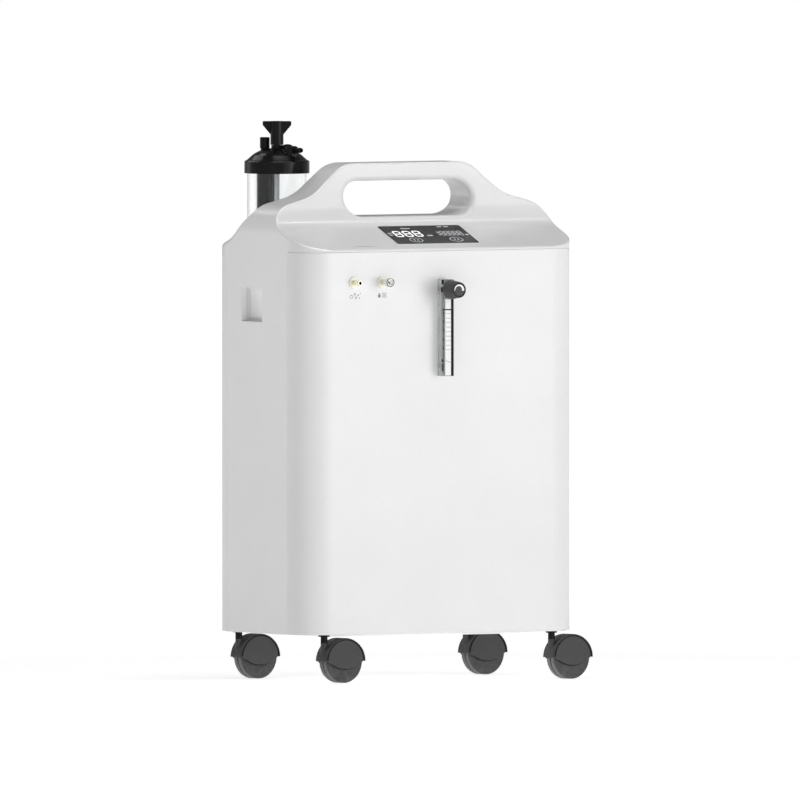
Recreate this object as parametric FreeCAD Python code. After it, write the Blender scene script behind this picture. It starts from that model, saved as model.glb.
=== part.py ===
import FreeCAD, Part
import math
import os

from FreeCAD import Vector as V

os.makedirs("parts", exist_ok=True)

# ---------------------------------------------------------------- driving dimensions (mm)
# Cabinet, seen from the front: X to the right, Y to the back, Z up from the floor.
BODY_W = 370.0          # cabinet width
BODY_D = 218.0          # cabinet depth
FRONT_R = 38.0          # front upright corners
REAR_R = 42.0           # rear upright corners
BODY_Z0 = 56.0          # underside of the walls
WALL = 3.0              # moulding thickness
LEDGE_Z = 498.2         # front edge of the sloped display ledge
SEAM_Z = 496.2          # underside of the top moulding at the front
SEAM_GAP = 0.4
REAR_SEAM_Z = 486.0
FRONT_SEAM_Y = -71.0    # upright joint between shell and front panel
REAR_SEAM_Y = 66.5
HUMP_Z = 595.0          # top of the handle
HUMP_FRONT_Y = -25.5
HUMP_BACK_Y = 18.0
EDGE_R_FRONT = 2.8      # round along the front outline of the top moulding
EDGE_R_BACK = 6.0
SLOT_HALF_W = 84.5      # handle opening
SLOT_Z0 = 533.6
SLOT_Z1 = 574.4

# Finger recess on the left side wall
REC_Y0, REC_Y1 = -12.0, 33.5
REC_Z0, REC_Z1 = 413.5, 453.5
REC_DEPTH = 10.0

# Display window on the ledge
WIN_W, WIN_L, WIN_T = 109.0, 52.0, 1.8
WIN_X = 2.0

# Flowmeter block on the front face
FM_X, FM_W, FM_DEPTH = -1.5, 12.0, 16.1
FM_Z0, FM_Z1 = 351.6, 463.0
KNOB_Z = 451.3
KNOB_R_BASE, KNOB_R_FRONT = 11.2, 9.1
KNOB_Y0, KNOB_Y1 = -128.9, -148.0

# Gas outlets on the front face
OX_X, OX_Z = -119.2, 460.3
NEB_X, NEB_Z = -81.6, 460.5

# Humidifier bottle
JAR_X, JAR_Y = -118.2, 67.0
JAR_R = 34.0
JAR_Z0, JAR_Z1 = 444.3, 590.0
LID_R = 37.5
LID_Z0, LID_Z1 = 582.0, 596.5
NUT_TOP = 641.8
BARB_HEADING = -75.0    # lid outlet, degrees from +X
CRADLE_R = 41.0
CRADLE_Z = 444.0

# Casters
CAST_X, CAST_Y = 151.7, 96.6
CAST_TRAIL = 23.5
CAST_HEADING = 5.2      # degrees from +X
WHEEL_R = 25.0
WHEEL_W = 17.0
HOOD_RX, HOOD_RZ, HOOD_W = 28.5, 26.7, 20.8

# The origin stands under the middle of the whole object's box.
SHIFT_X = 9.645
SHIFT_Y = -17.3

HW, HD = BODY_W / 2.0, BODY_D / 2.0
FRONT_Y = -HD
BACK_Y = HD

nodes = {}


# ---------------------------------------------------------------- helpers
def box(x0, y0, z0, x1, y1, z1):
    return Part.makeBox(x1 - x0, y1 - y0, z1 - z0, V(x0, y0, z0))


def cyl(r, p, q):
    p, q = V(*p), V(*q)
    d = q - p
    return Part.makeCylinder(r, d.Length, p, d)


def cone(r0, r1, p, q):
    p, q = V(*p), V(*q)
    d = q - p
    return Part.makeCone(r0, r1, d.Length, p, d)


def fuse(shapes):
    s = shapes[0]
    if len(shapes) > 1:
        s = s.fuse(shapes[1:])
    return s.removeSplitter()


def outline(pts, radii, t, to3d):
    """Closed wire of straight runs and tangent arcs, moved inwards by t. pts run counter-clockwise."""
    n = len(pts)
    lines = []
    for i in range(n):
        (ax, ay), (bx, by) = pts[i], pts[(i + 1) % n]
        L = math.hypot(bx - ax, by - ay)
        ux, uy = (bx - ax) / L, (by - ay) / L
        nx, ny = -uy, ux
        lines.append((ax + nx * t, ay + ny * t, ux, uy))
    verts = []
    for i in range(n):
        x1, y1, u1, v1 = lines[i - 1]
        x2, y2, u2, v2 = lines[i]
        det = u1 * v2 - v1 * u2
        s = ((x2 - x1) * v2 - (y2 - y1) * u2) / det
        verts.append((x1 + u1 * s, y1 + v1 * s, det))
    segs = []
    for i in range(n):
        x, y, det = verts[i]
        u1, v1 = lines[i - 1][2:]
        u2, v2 = lines[i][2:]
        r = radii[i]
        if r > 0:
            r = r - t if det > 0 else r + t
        if r <= 0.05:
            segs.append(((x, y), None, (x, y)))
            continue
        turn = math.atan2(abs(det), u1 * u2 + v1 * v2)
        tl = r * math.tan(turn / 2.0)
        p = (x - u1 * tl, y - v1 * tl)
        q = (x + u2 * tl, y + v2 * tl)
        sg = 1.0 if det > 0 else -1.0
        cx, cy = p[0] - v1 * r * sg, p[1] + u1 * r * sg
        mx, my = x - cx, y - cy
        m = math.hypot(mx, my)
        segs.append((p, (cx + mx / m * r, cy + my / m * r), q))
    edges = []
    for i in range(n):
        p, m, q = segs[i]
        if m is not None:
            edges.append(Part.Arc(to3d(*p), to3d(*m), to3d(*q)).toShape())
        nxt = segs[(i + 1) % n][0]
        if math.hypot(nxt[0] - q[0], nxt[1] - q[1]) > 1e-6:
            edges.append(Part.makeLine(to3d(*q), to3d(*nxt)))
    return Part.Wire(edges)


def prism(pts, radii, t, to3d, sweep):
    return Part.Face(outline(pts, radii, t, to3d)).extrude(V(*sweep))


def revolve(pts, base, axis=(0, 0, 1)):
    """Solid of revolution; pts are (radius, height) pairs of a closed loop."""
    wire = Part.makePolygon([V(r, 0, h) for r, h in pts + [pts[0]]])
    s = Part.Face(wire).revolve(V(0, 0, 0), V(0, 0, 1), 360)
    s.Placement = FreeCAD.Placement(V(*base), FreeCAD.Rotation(V(0, 0, 1), V(*axis)))
    return s


def tube_path(points, r, radii=None):
    """Round bar along straight runs joined by tangent arcs."""
    P = [V(*p) for p in points]
    edges = []
    last = P[0]
    for i in range(1, len(P) - 1):
        a, b, c = P[i - 1], P[i], P[i + 1]
        d1, d2 = (b - a).normalize(), (c - b).normalize()
        turn = d1.getAngle(d2)
        R = (radii[i - 1] if radii else 0.45 * min((b - a).Length, (c - b).Length) / math.tan(turn / 2.0))
        tl = R * math.tan(turn / 2.0)
        p, q = b - d1 * tl, b + d2 * tl
        bis = (d2 - d1).normalize()
        cen = b + bis * (R / math.cos(turn / 2.0))
        m = cen + (b - cen).normalize() * R
        if (p - last).Length > 1e-6:
            edges.append(Part.makeLine(last, p))
        edges.append(Part.Arc(p, m, q).toShape())
        last = q
    edges.append(Part.makeLine(last, P[-1]))
    path = Part.Wire(edges)
    prof = Part.Wire([Part.Circle(P[0], (P[1] - P[0]).normalize(), r).toShape()])
    s = path.makePipeShell([prof], True, True)
    return s


def place(shape, x=0.0, y=0.0, z=0.0, rz=0.0):
    s = shape.copy()
    if rz:
        s.rotate(V(0, 0, 0), V(0, 0, 1), rz)
    s.translate(V(x, y, z))
    return s


def add(name, shape):
    nodes[name] = shape


# ---------------------------------------------------------------- cabinet envelope
def plan_prism(t, z0, z1):
    pts = [(-HW, -HD), (HW, -HD), (HW, HD), (-HW, HD)]
    return prism(pts, [FRONT_R, FRONT_R, REAR_R, REAR_R], t, lambda a, b: V(a, b, z0), (0, 0, z1 - z0))


SIDE_PTS = [(FRONT_Y, 20.0), (BACK_Y, 20.0), (BACK_Y, 498.0), (63.85, 506.7), (23.1, 538.7),
            (HUMP_BACK_Y, HUMP_Z), (HUMP_FRONT_Y, HUMP_Z), (HUMP_FRONT_Y, 577.0), (-36.3, 526.6), (FRONT_Y, LEDGE_Z)]
SIDE_RAD = [0, 0, 0, 60.0, 18.0, 0, 0, 45.0, 34.0, 0]
TOP_PTS = [(-HW, 20.0), (HW, 20.0), (HW, 542.7), (126.7, 558.2), (83.4, HUMP_Z),
           (-83.4, HUMP_Z), (-126.7, 558.2), (-HW, 542.7)]
TOP_RAD = [0, 0, 34.0, 60.0, 37.0, 37.0, 60.0, 34.0]


def envelope(t):
    plan = plan_prism(t, BODY_Z0, 620.0)
    side = prism(SIDE_PTS, SIDE_RAD, t, lambda a, b: V(-250, a, b), (500, 0, 0))
    top = prism(TOP_PTS, TOP_RAD, t, lambda a, b: V(a, 250, b), (0, -500, 0))
    return plan.common(side).common(top).removeSplitter()


def stadium(half_w, z0, z1, grow):
    r = (z1 - z0) / 2.0 + grow
    zc = (z0 + z1) / 2.0
    cx = half_w + grow - r
    a = cyl(r, (-cx, -80, zc), (-cx, 80, zc))
    b = cyl(r, (cx, -80, zc), (cx, 80, zc))
    return fuse([box(-cx, -80, zc - r, cx, 80, zc + r), a, b])


def wide(b):
    return b.XMin < -100 and b.XMax > 100


def is_front_edge(b):
    return (b.YMax < -25.0 and b.ZMin >= 498.1 and not (wide(b) and 505 < b.ZMin < 590)
            and not (b.YLength < 1e-6 and b.XLength < 1e-6))


def is_back_edge(b):
    return (b.YMin > 17.5 and b.ZMin >= 497.9 and not (wide(b) and 500 < b.ZMin < 590)
            and not (b.YLength < 1e-6 and b.XLength < 1e-6))


outer = envelope(0.0)
outer = outer.makeFillet(EDGE_R_FRONT, [e for e in outer.Edges if is_front_edge(e.BoundBox)])
outer = outer.makeFillet(EDGE_R_BACK, [e for e in outer.Edges if is_back_edge(e.BoundBox) and e.BoundBox.YMin > 17.5])

# Handle opening with rounded rims
slot = stadium(SLOT_HALF_W, SLOT_Z0, SLOT_Z1, 0.0)
gripped = outer.cut(slot)


def is_rim(e):
    b = e.BoundBox
    inside = b.ZMin > SLOT_Z0 - 0.5 and b.ZMax < SLOT_Z1 + 0.5 and abs(b.XMin) < SLOT_HALF_W + 0.5 and abs(b.XMax) < SLOT_HALF_W + 0.5
    through = b.YMin < -20 and b.YMax > 10
    return inside and not through


front_rim = [e for e in gripped.Edges if is_rim(e) and e.BoundBox.YMax < -20]
gripped = gripped.makeFillet(6.0, front_rim)
back_rim = [e for e in gripped.Edges if is_rim(e) and e.BoundBox.YMin > 15]
gripped = gripped.makeFillet(5.0, back_rim)

# Hollow inside, with walls left round the handle opening and the finger recess
cavity = envelope(WALL)
cavity = cavity.cut(stadium(SLOT_HALF_W, SLOT_Z0, SLOT_Z1, WALL))
rec_outer = box(-HW - 5, REC_Y0 - WALL, REC_Z0 - WALL, -HW + REC_DEPTH + WALL, REC_Y1 + WALL, REC_Z1 + WALL)
cavity = cavity.cut(rec_outer)
recess = box(-HW - 5, REC_Y0, REC_Z0, -HW + REC_DEPTH, REC_Y1, REC_Z1)
recess = recess.makeFillet(4.0, [e for e in recess.Edges if e.BoundBox.XLength < 1e-6 and abs(e.BoundBox.XMin - (-HW + REC_DEPTH)) < 1e-6])

shell = gripped.cut(cavity)
shell = shell.cut(recess)
# Room for the front panel and the rear panel
shell = shell.cut(box(-HW - 1, -HD - 1, BODY_Z0 - 1, HW + 1, FRONT_SEAM_Y + SEAM_GAP / 2, SEAM_Z))
shell = shell.cut(box(-HW - 1, REAR_SEAM_Y - SEAM_GAP / 2, BODY_Z0 - 1, HW + 1, HD + 1, REAR_SEAM_Z))


# Bottle pocket: a tub, open at the back and the top, standing in a cut-out of the top moulding
def u_prism(r, z0, z1, y_end):
    c = cyl(r, (JAR_X, JAR_Y, z0), (JAR_X, JAR_Y, z1))
    return fuse([c, box(JAR_X - r, JAR_Y, z0, JAR_X + r, y_end, z1)])


CR_T = 2.4
shell = shell.cut(u_prism(CRADLE_R + CR_T + 0.3, CRADLE_Z - 3.3, 620.0, 120.0))

# Display window seat on the sloped ledge
slope = math.atan2(526.6 - LEDGE_Z, 109.0 - 36.3)


def on_ledge(shape):
    """Moves a shape from its own plane (X right, Y up the slope, Z out) on to the ledge."""
    s = shape.copy()
    s.rotate(V(0, 0, 0), V(1, 0, 0), math.degrees(slope))
    s.translate(V(WIN_X, FRONT_Y, LEDGE_Z))
    return s


WIN_S0 = (109.0 - 96.0) / math.cos(slope)


def ledge_plate(w, l, z0, z1, r):
    b = box(-w / 2, WIN_S0 + (WIN_L - l) / 2, z0, w / 2, WIN_S0 + (WIN_L + l) / 2, z1)
    if r > 0:
        b = b.makeFillet(r, [e for e in b.Edges if e.BoundBox.ZLength > 0.5 and e.BoundBox.XLength < 1e-6 and e.BoundBox.YLength < 1e-6])
    return b


shell = shell.cut(on_ledge(ledge_plate(WIN_W + 0.5, WIN_L + 0.5, -1.4, 10.0, 3.0)))
shell = shell.cut(on_ledge(ledge_plate(WIN_W - 12, WIN_L - 12, -10.0, 1.0, 2.0)))
add("outer_shell", shell)

window = on_ledge(ledge_plate(WIN_W, WIN_L, -1.4, WIN_T - 1.4, 2.75))
add("display_window", window)

board_d = ledge_plate(104.0, 44.0, -9.6, -8.0, 1.0)
led = box(-46, WIN_S0 + 8, -8.0, 46, WIN_S0 + 44, -3.6)
add("display_board", on_ledge(fuse([board_d, led])))

# ---------------------------------------------------------------- front panel
ring = plan_prism(0.0, BODY_Z0, SEAM_Z - SEAM_GAP).cut(plan_prism(WALL, BODY_Z0 - 5, SEAM_Z + 5))
front = ring.common(box(-HW - 1, -HD - 1, BODY_Z0 - 1, HW + 1, FRONT_SEAM_Y - SEAM_GAP / 2, SEAM_Z + 5))
front = front.makeFillet(1.2, [e for e in front.Edges if e.BoundBox.ZMin > SEAM_Z - SEAM_GAP - 0.01 and e.BoundBox.ZLength < 1e-6
                               and (abs(e.BoundBox.YMin + HD) < 1e-3) and e.BoundBox.XLength > 30])
for hx, hz, hr in ((OX_X, OX_Z, 3.3), (NEB_X, NEB_Z, 3.3), (FM_X, FM_Z0 + 12, 3.3), (FM_X, KNOB_Z, 3.3)):
    front = front.cut(cyl(hr, (hx, -HD - 5, hz), (hx, -HD + 10, hz)))
add("front_panel", front)

# ---------------------------------------------------------------- rear panel
DOOR_X0, DOOR_X1, DOOR_Z0, DOOR_Z1 = -48.0, 48.0, 297.0, 393.0
RK_X, RK_Z = 66.0, 120.0
BRK_X, BRK_Z = 66.0, 158.0
IN_X, IN_Z = 112.0, 120.0
ring = plan_prism(0.0, BODY_Z0, REAR_SEAM_Z - SEAM_GAP).cut(plan_prism(WALL, BODY_Z0 - 5, REAR_SEAM_Z + 5))
rear = ring.common(box(-HW - 1, REAR_SEAM_Y + SEAM_GAP / 2, BODY_Z0 - 1, HW + 1, HD + 1, REAR_SEAM_Z + 5))
rear = rear.cut(u_prism(CRADLE_R + CR_T + 0.3, CRADLE_Z - 3.3, 620.0, 120.0))
rear = rear.cut(box(DOOR_X0, BACK_Y - 10, DOOR_Z0, DOOR_X1, BACK_Y + 5, DOOR_Z1))
# tray behind the door that holds the foam, with a round hole to the filter cartridge
TR_Y0 = BACK_Y - 17.0
tray = box(DOOR_X0 - 2, TR_Y0, DOOR_Z0 - 2, DOOR_X1 + 2, BACK_Y - WALL + 0.2, DOOR_Z1 + 2)
tray = tray.cut(box(DOOR_X0, TR_Y0 + 2, DOOR_Z0, DOOR_X1, BACK_Y, DOOR_Z1))
tray = tray.cut(cyl(28.0, (0, TR_Y0 - 1, 345), (0, TR_Y0 + 4, 345)))
rear = fuse([rear, tray])
for i in range(9):
    z = 72.0 + i * 9.0
    rear = rear.cut(fuse([box(-118, BACK_Y - 6, z, 22, BACK_Y + 2, z + 3.6)]))
for i in range(5):
    z = 215.0 + i * 9.0
    rear = rear.cut(box(-118, BACK_Y - 6, z, -20, BACK_Y + 2, z + 3.6))
    rear = rear.cut(box(20, BACK_Y - 6, z, 118, BACK_Y + 2, z + 3.6))
rear = rear.cut(box(RK_X - 14.2, BACK_Y - 6, RK_Z - 10.2, RK_X + 14.2, BACK_Y + 2, RK_Z + 10.2))
rear = rear.cut(cyl(6.2, (BRK_X, BACK_Y - 6, BRK_Z), (BRK_X, BACK_Y + 2, BRK_Z)))
rear = rear.cut(box(IN_X - 14.2, BACK_Y - 6, IN_Z - 10.2, IN_X + 14.2, BACK_Y + 2, IN_Z + 10.2))
# fixed hinge knuckles for the filter door
HG_X, HG_Y = DOOR_X1 + 1.8, BACK_Y + 2.4
for z0, z1 in ((305.0, 311.7), (322.3, 329.0), (361.0, 367.7), (378.3, 385.0)):
    k = fuse([cyl(2.0, (HG_X, HG_Y, z0), (HG_X, HG_Y, z1)), box(HG_X - 0.2, BACK_Y - 1.0, z0, HG_X + 4.5, HG_Y + 0.6, z1)])
    k = k.cut(cyl(0.9, (HG_X, HG_Y, z0 - 1), (HG_X, HG_Y, z1 + 1)))
    rear = rear.fuse(k)
SCREWS = [(x, z) for x in (-136.0, 136.0) for z in (66.0, 210.0, 400.0)] + [(136.0, 470.0)]
for x, z in SCREWS:
    rear = rear.cut(cyl(1.9, (x, BACK_Y - 8, z), (x, BACK_Y + 2, z)))
rear = rear.removeSplitter()
add("rear_panel", rear)

screws = []
for x, z in SCREWS:
    yy = BACK_Y - (0.0 if abs(x) < 143 else 42.0 - math.sqrt(42.0 ** 2 - (abs(x) - 143.0) ** 2))
    head = cyl(3.6, (x, yy + 0.05, z), (x, yy + 2.0, z)).cut(box(x - 2.4, yy + 1.1, z - 0.5, x + 2.4, yy + 3, z + 0.5))
    head = head.cut(box(x - 0.5, yy + 1.1, z - 2.4, x + 0.5, yy + 3, z + 2.4))
    screws.append(head.fuse(cyl(1.5, (x, yy - 9.0, z), (x, yy + 0.1, z))).removeSplitter())
add("case_screws", Part.makeCompound(screws))

# ---------------------------------------------------------------- bottle cradle
tub = u_prism(CRADLE_R + CR_T, CRADLE_Z - 3.0, 620.0, 120.0).cut(u_prism(CRADLE_R, CRADLE_Z, 620.0, 125.0))
tub = tub.common(outer)
lip = cyl(38.2, (JAR_X, JAR_Y, CRADLE_Z - 0.2), (JAR_X, JAR_Y, CRADLE_Z + 4.0)).cut(
    cyl(35.0, (JAR_X, JAR_Y, CRADLE_Z - 1), (JAR_X, JAR_Y, CRADLE_Z + 5)))
tub = fuse([tub, lip])
add("bottle_cradle", tub)

# ---------------------------------------------------------------- filter door
d = box(DOOR_X0 + 0.4, BACK_Y - 2.8, DOOR_Z0 + 0.4, DOOR_X1 - 0.4, BACK_Y - 0.2, DOOR_Z1 - 0.4)
for i in range(8):
    z = DOOR_Z0 + 11.0 + i * 10.0
    d = d.cut(box(-36, BACK_Y - 4, z, 36, BACK_Y + 1, z + 3.6))
d = d.cut(box(DOOR_X0 - 1, BACK_Y - 4, 340, DOOR_X0 + 4.5, BACK_Y + 1, 350))
parts_d = [d]
for z0, z1 in ((312.0, 322.0), (368.0, 378.0)):
    k = fuse([cyl(2.0, (HG_X, HG_Y, z0), (HG_X, HG_Y, z1)),
              box(DOOR_X1 - 3.2, BACK_Y - 0.5, z0, DOOR_X1 - 0.4, HG_Y + 0.4, z1),
              box(DOOR_X1 - 1.0, BACK_Y + 0.5, z0, HG_X, HG_Y + 0.4, z1)])
    k = k.cut(cyl(0.85, (HG_X, HG_Y, z0 - 1), (HG_X, HG_Y, z1 + 1)))
    parts_d.append(k)
door = fuse(parts_d)
add("filter_door", door)
pins = [cyl(0.8, (HG_X, HG_Y, 304.5), (HG_X, HG_Y, 329.5)), cyl(0.8, (HG_X, HG_Y, 360.5), (HG_X, HG_Y, 385.5))]
add("door_hinge_pins", Part.makeCompound(pins))
add("filter_foam", box(DOOR_X0 + 1, TR_Y0 + 2.2, DOOR_Z0 + 1, DOOR_X1 - 1, BACK_Y - 4.5, DOOR_Z1 - 1))

# ---------------------------------------------------------------- base plate
LIP_X, LIP_Y = 136.0, 66.0     # flat bottom of the base, which slopes up towards the casters
base_pts = [(-HW + 3.6, -HD + 3.6), (HW - 3.6, -HD + 3.6), (HW - 3.6, HD - 3.6), (-HW + 3.6, HD - 3.6)]
base = prism(base_pts, [34.4, 34.4, 38.4, 38.4], 0, lambda a, b: V(a, b, 55.3), (0, 0, 3.2))
low_wires = []
for px_, py_, pr_, pz_ in ((LIP_X, LIP_Y, 24.0, 52.0), (LIP_X + 28.0, LIP_Y + 26.0, 46.0, 55.4)):
    low_wires.append(outline([(-px_, -py_), (px_, -py_), (px_, py_), (-px_, py_)], [pr_] * 4, 0, lambda a, b, z=pz_: V(a, b, z)))
low = Part.makeLoft(low_wires, True, True)
bosses = [cyl(7.8, (sx * CAST_X, sy * CAST_Y, 56), (sx * CAST_X, sy * CAST_Y, 84)) for sx in (-1, 1) for sy in (-1, 1)]
base = fuse([base, low] + bosses)
for sx in (-1, 1):
    for sy in (-1, 1):
        base = base.cut(cyl(5.05, (sx * CAST_X, sy * CAST_Y, 40), (sx * CAST_X, sy * CAST_Y, 80.5)))
for i in range(7):
    x = -36.0 + i * 12.0
    base = base.cut(box(x, -60, 50, x + 3.8, 60, 60))
BASE_TOP = 58.5
add("base_plate", base)

# ---------------------------------------------------------------- flowmeter
fm = box(FM_X - FM_W / 2, -HD - FM_DEPTH, FM_Z0, FM_X + FM_W / 2, -HD - 0.05, FM_Z1)
fm = fm.makeFillet(0.8, [e for e in fm.Edges if e.BoundBox.YMax < -HD - 10])
FM_TUBE_Y = -HD - 9.5
FM_TUBE_TOP = 441.0
fm = fm.cut(cone(2.9, 3.5, (FM_X, FM_TUBE_Y, FM_Z0 + 8), (FM_X, FM_TUBE_Y, FM_TUBE_TOP)))
fm = fm.cut(cyl(2.0, (FM_X, FM_TUBE_Y, FM_Z0 + 12), (FM_X, -HD + 1, FM_Z0 + 12)))
fm = fm.cut(cyl(1.6, (FM_X, FM_TUBE_Y, FM_TUBE_TOP - 1), (FM_X, FM_TUBE_Y, KNOB_Z)))
fm = fm.cut(cyl(2.35, (FM_X, -HD - FM_DEPTH - 1, KNOB_Z), (FM_X, -HD - 4.0, KNOB_Z)))
fm_nip = []
for z in (FM_Z0 + 12, KNOB_Z):
    n = cyl(3.2, (FM_X, -HD - 0.05, z), (FM_X, -HD + 16, z)).cut(cyl(1.6, (FM_X, -HD - 1, z), (FM_X, -HD + 17, z)))
    fm_nip.append(n)
fm = fm.cut(cyl(1.6, (FM_X, -HD - 5, KNOB_Z), (FM_X, -HD + 1, KNOB_Z)))
fm = fuse([fm] + fm_nip)
add("flowmeter_body", fm)
FLOAT_Z0 = FM_Z0 + 8.4
fl = revolve([(0, 0), (1.3, 0), (2.45, 3.2), (2.45, 4.4), (0.9, 4.4), (0.9, 6.0), (0, 6.0)], (FM_X, FM_TUBE_Y, FLOAT_Z0))
add("flowmeter_float", fl)

# knob: tapered grip with a skirt and grip flutes, and a fluted bore for the needle
KY0, KY1 = KNOB_Y0, KNOB_Y1
knob = cone(KNOB_R_BASE, KNOB_R_FRONT, (FM_X, KY0, KNOB_Z), (FM_X, KY1, KNOB_Z))
knob = knob.makeFillet(1.0, [e for e in knob.Edges if abs(e.BoundBox.YMin - KY1) < 0.01 and e.BoundBox.YLength < 0.01])
collar = cyl(6.0, (FM_X, KY0 + 3.5, KNOB_Z), (FM_X, KY0 - 0.5, KNOB_Z))
knob = fuse([knob, collar])
for i in range(24):
    a = math.radians(i * 15.0)
    fx, fz = FM_X + math.cos(a) * (KNOB_R_BASE + 0.45), KNOB_Z + math.sin(a) * (KNOB_R_BASE + 0.45)
    gx, gz = FM_X + math.cos(a) * (KNOB_R_FRONT + 0.45), KNOB_Z + math.sin(a) * (KNOB_R_FRONT + 0.45)
    knob = knob.cut(cyl(0.75, (fx, KY0 - 3.0, fz), (gx, KY1 + 2.0, gz)))
knob = knob.cut(cyl(2.0, (FM_X, KY0 + 4, KNOB_Z), (FM_X, KY1 + 5, KNOB_Z)))
add("flow_knob", knob)
needle = fuse([cyl(2.0, (FM_X, KY1 + 5.1, KNOB_Z), (FM_X, KY0 + 3.5, KNOB_Z)),
               cyl(2.3, (FM_X, KY0 + 3.5, KNOB_Z), (FM_X, -HD - 7.5, KNOB_Z)),
               cone(1.2, 0.4, (FM_X, -HD - 7.5, KNOB_Z), (FM_X, -HD - 4.6, KNOB_Z))])
add("flow_needle", needle)

# ---------------------------------------------------------------- gas outlets
flange = []
for x, z in ((OX_X, OX_Z), (NEB_X, NEB_Z)):
    f = cyl(6.8, (x, -HD - 0.05, z), (x, -HD - 2.0, z))
    f = f.makeFillet(0.9, [e for e in f.Edges if abs(e.BoundBox.YMin + HD + 2.0) < 0.01 and e.BoundBox.YLength < 0.01])
    f = f.cut(cyl(3.1, (x, -HD + 1, z), (x, -HD - 4, z)))
    flange.append(f)
add("outlet_flanges", Part.makeCompound(flange))

yf = -HD - 14.5
ox = fuse([cyl(2.8, (OX_X, -HD + 18, OX_Z), (OX_X, -HD - 2.3, OX_Z)),
           cyl(3.0, (OX_X, -HD - 2.1, OX_Z), (OX_X, yf + 2.2, OX_Z)),
           cone(3.0, 2.3, (OX_X, yf + 2.2, OX_Z), (OX_X, yf, OX_Z)),
           cyl(5.5, (OX_X, -HD + 3.1, OX_Z), (OX_X, -HD + 7, OX_Z))])
ox = ox.cut(cyl(1.45, (OX_X, -HD + 20, OX_Z), (OX_X, yf - 1, OX_Z)))
add("oxygen_outlet", ox)
yn = -HD - 19.5
neb = fuse([cyl(3.0, (NEB_X, -HD + 18, NEB_Z), (NEB_X, yn + 4, NEB_Z)),
            cyl(4.9, (NEB_X, yn + 7.5, NEB_Z), (NEB_X, yn, NEB_Z)),
            cyl(5.5, (NEB_X, -HD + 3.1, NEB_Z), (NEB_X, -HD + 7, NEB_Z))])
neb = neb.cut(cyl(1.45, (NEB_X, -HD + 20, NEB_Z), (NEB_X, yn - 1, NEB_Z)))
neb = neb.cut(cyl(3.6, (NEB_X, yn + 6.0, NEB_Z), (NEB_X, yn - 1, NEB_Z)))
add("nebuliser_outlet", neb)

# ---------------------------------------------------------------- humidifier bottle
PIC = (math.cos(math.radians(30.5)), -math.sin(math.radians(30.5)))
TOW = (-PIC[0] * 0 - math.sin(math.radians(30.5)), -math.cos(math.radians(30.5)))


def off(a, b):
    return JAR_X + PIC[0] * a + TOW[0] * b, JAR_Y + PIC[1] * a + TOW[1] * b


jar = revolve([(0, 0), (JAR_R - 3, 0), (JAR_R, 3), (JAR_R, JAR_Z1 - JAR_Z0), (JAR_R - 2.2, JAR_Z1 - JAR_Z0),
               (JAR_R - 2.2, 4.2), (JAR_R - 4.4, 2.4), (0, 2.4)], (JAR_X, JAR_Y, JAR_Z0))
add("humidifier_jar", jar)

DOME_TOP = 611.2
lid_out = [(0, DOME_TOP), (7, 610.8), (14, 609.6), (20, 607.8), (25, 605.2), (28.5, 602.8), (31.5, 600.0), (34.6, 597.3),
           (36.3, LID_Z1), (LID_R, LID_Z1 - 1.2), (LID_R, LID_Z0), (JAR_R + 0.35, LID_Z0), (JAR_R + 0.35, 590.6), (31.0, 590.6),
           (30.0, 596.8), (27.0, 600.0), (23.5, 602.4), (19.0, 604.6), (13.5, 606.4), (7, 607.6), (0, 608.0)]
lid = revolve(lid_out, (JAR_X, JAR_Y, 0))
bx, by = off(15.9, 17.0)
boss = cyl(6.8, (bx, by, 602.0), (bx, by, 613.6))
boss = boss.makeFillet(1.5, [e for e in boss.Edges if e.BoundBox.ZMin > 613.5])
# square block under the outlet, its faces square to the nut's wings
block = box(8.2, -21.5, 597.2, 22.6, -9.0, 606.8)
block.rotate(V(0, 0, 0), V(0, 0, 1), -30.5)
block.translate(V(JAR_X, JAR_Y, 0))
sx_, sy_ = off(12.0, 2.0)
bump = Part.makeSphere(11.0, V(sx_, sy_, 604.4)).common(cyl(30, (JAR_X, JAR_Y, 604.5), (JAR_X, JAR_Y, 620)))
rx, ry = off(-14.0, -10.0)
relief_seat = cyl(4.8, (rx, ry, 604.0), (rx, ry, 610.3))
dip_seat = cyl(5.0, (JAR_X, JAR_Y, 602.5), (JAR_X, JAR_Y, 609.5))
stem = cyl(6.6, (JAR_X, JAR_Y, 607.5), (JAR_X, JAR_Y, 614.2))
nipple = cyl(3.40, (JAR_X, JAR_Y, 612.0), (JAR_X, JAR_Y, 628.0))
ang = math.radians(BARB_HEADING)
dx, dy = math.cos(ang), math.sin(ang)
SP_Z = 608.9
barb = fuse([cyl(3.0, (bx, by, SP_Z), (bx + dx * 15.9, by + dy * 15.9, SP_Z)),
             cone(3.0, 2.2, (bx + dx * 15.9, by + dy * 15.9, SP_Z), (bx + dx * 17.7, by + dy * 17.7, SP_Z)),
             cyl(4.4, (bx, by, SP_Z), (bx + dx * 8.4, by + dy * 8.4, SP_Z))])
lid = fuse([lid, boss, block, bump, relief_seat, dip_seat, stem, nipple, barb])
lid = lid.cut(cyl(1.5, (bx, by, SP_Z), (bx + dx * 25, by + dy * 25, SP_Z)))
lid = lid.cut(cyl(1.5, (bx, by, SP_Z), (bx, by, 590)))
lid = lid.cut(cyl(1.5, (JAR_X, JAR_Y, 600), (JAR_X, JAR_Y, 630)))
lid = lid.cut(cyl(2.2, (rx, ry, 590), (rx, ry, 606.5)))
add("humidifier_lid", lid)

relief = cyl(5.6, (rx, ry, 610.3), (rx, ry, 623.0))
relief = relief.makeFillet(0.8, [e for e in relief.Edges if e.BoundBox.ZMin > 622.9])
relief = relief.cut(cyl(2.7, (rx, ry, 612), (rx, ry, 624)))
add("humidifier_relief_valve", relief)

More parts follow.
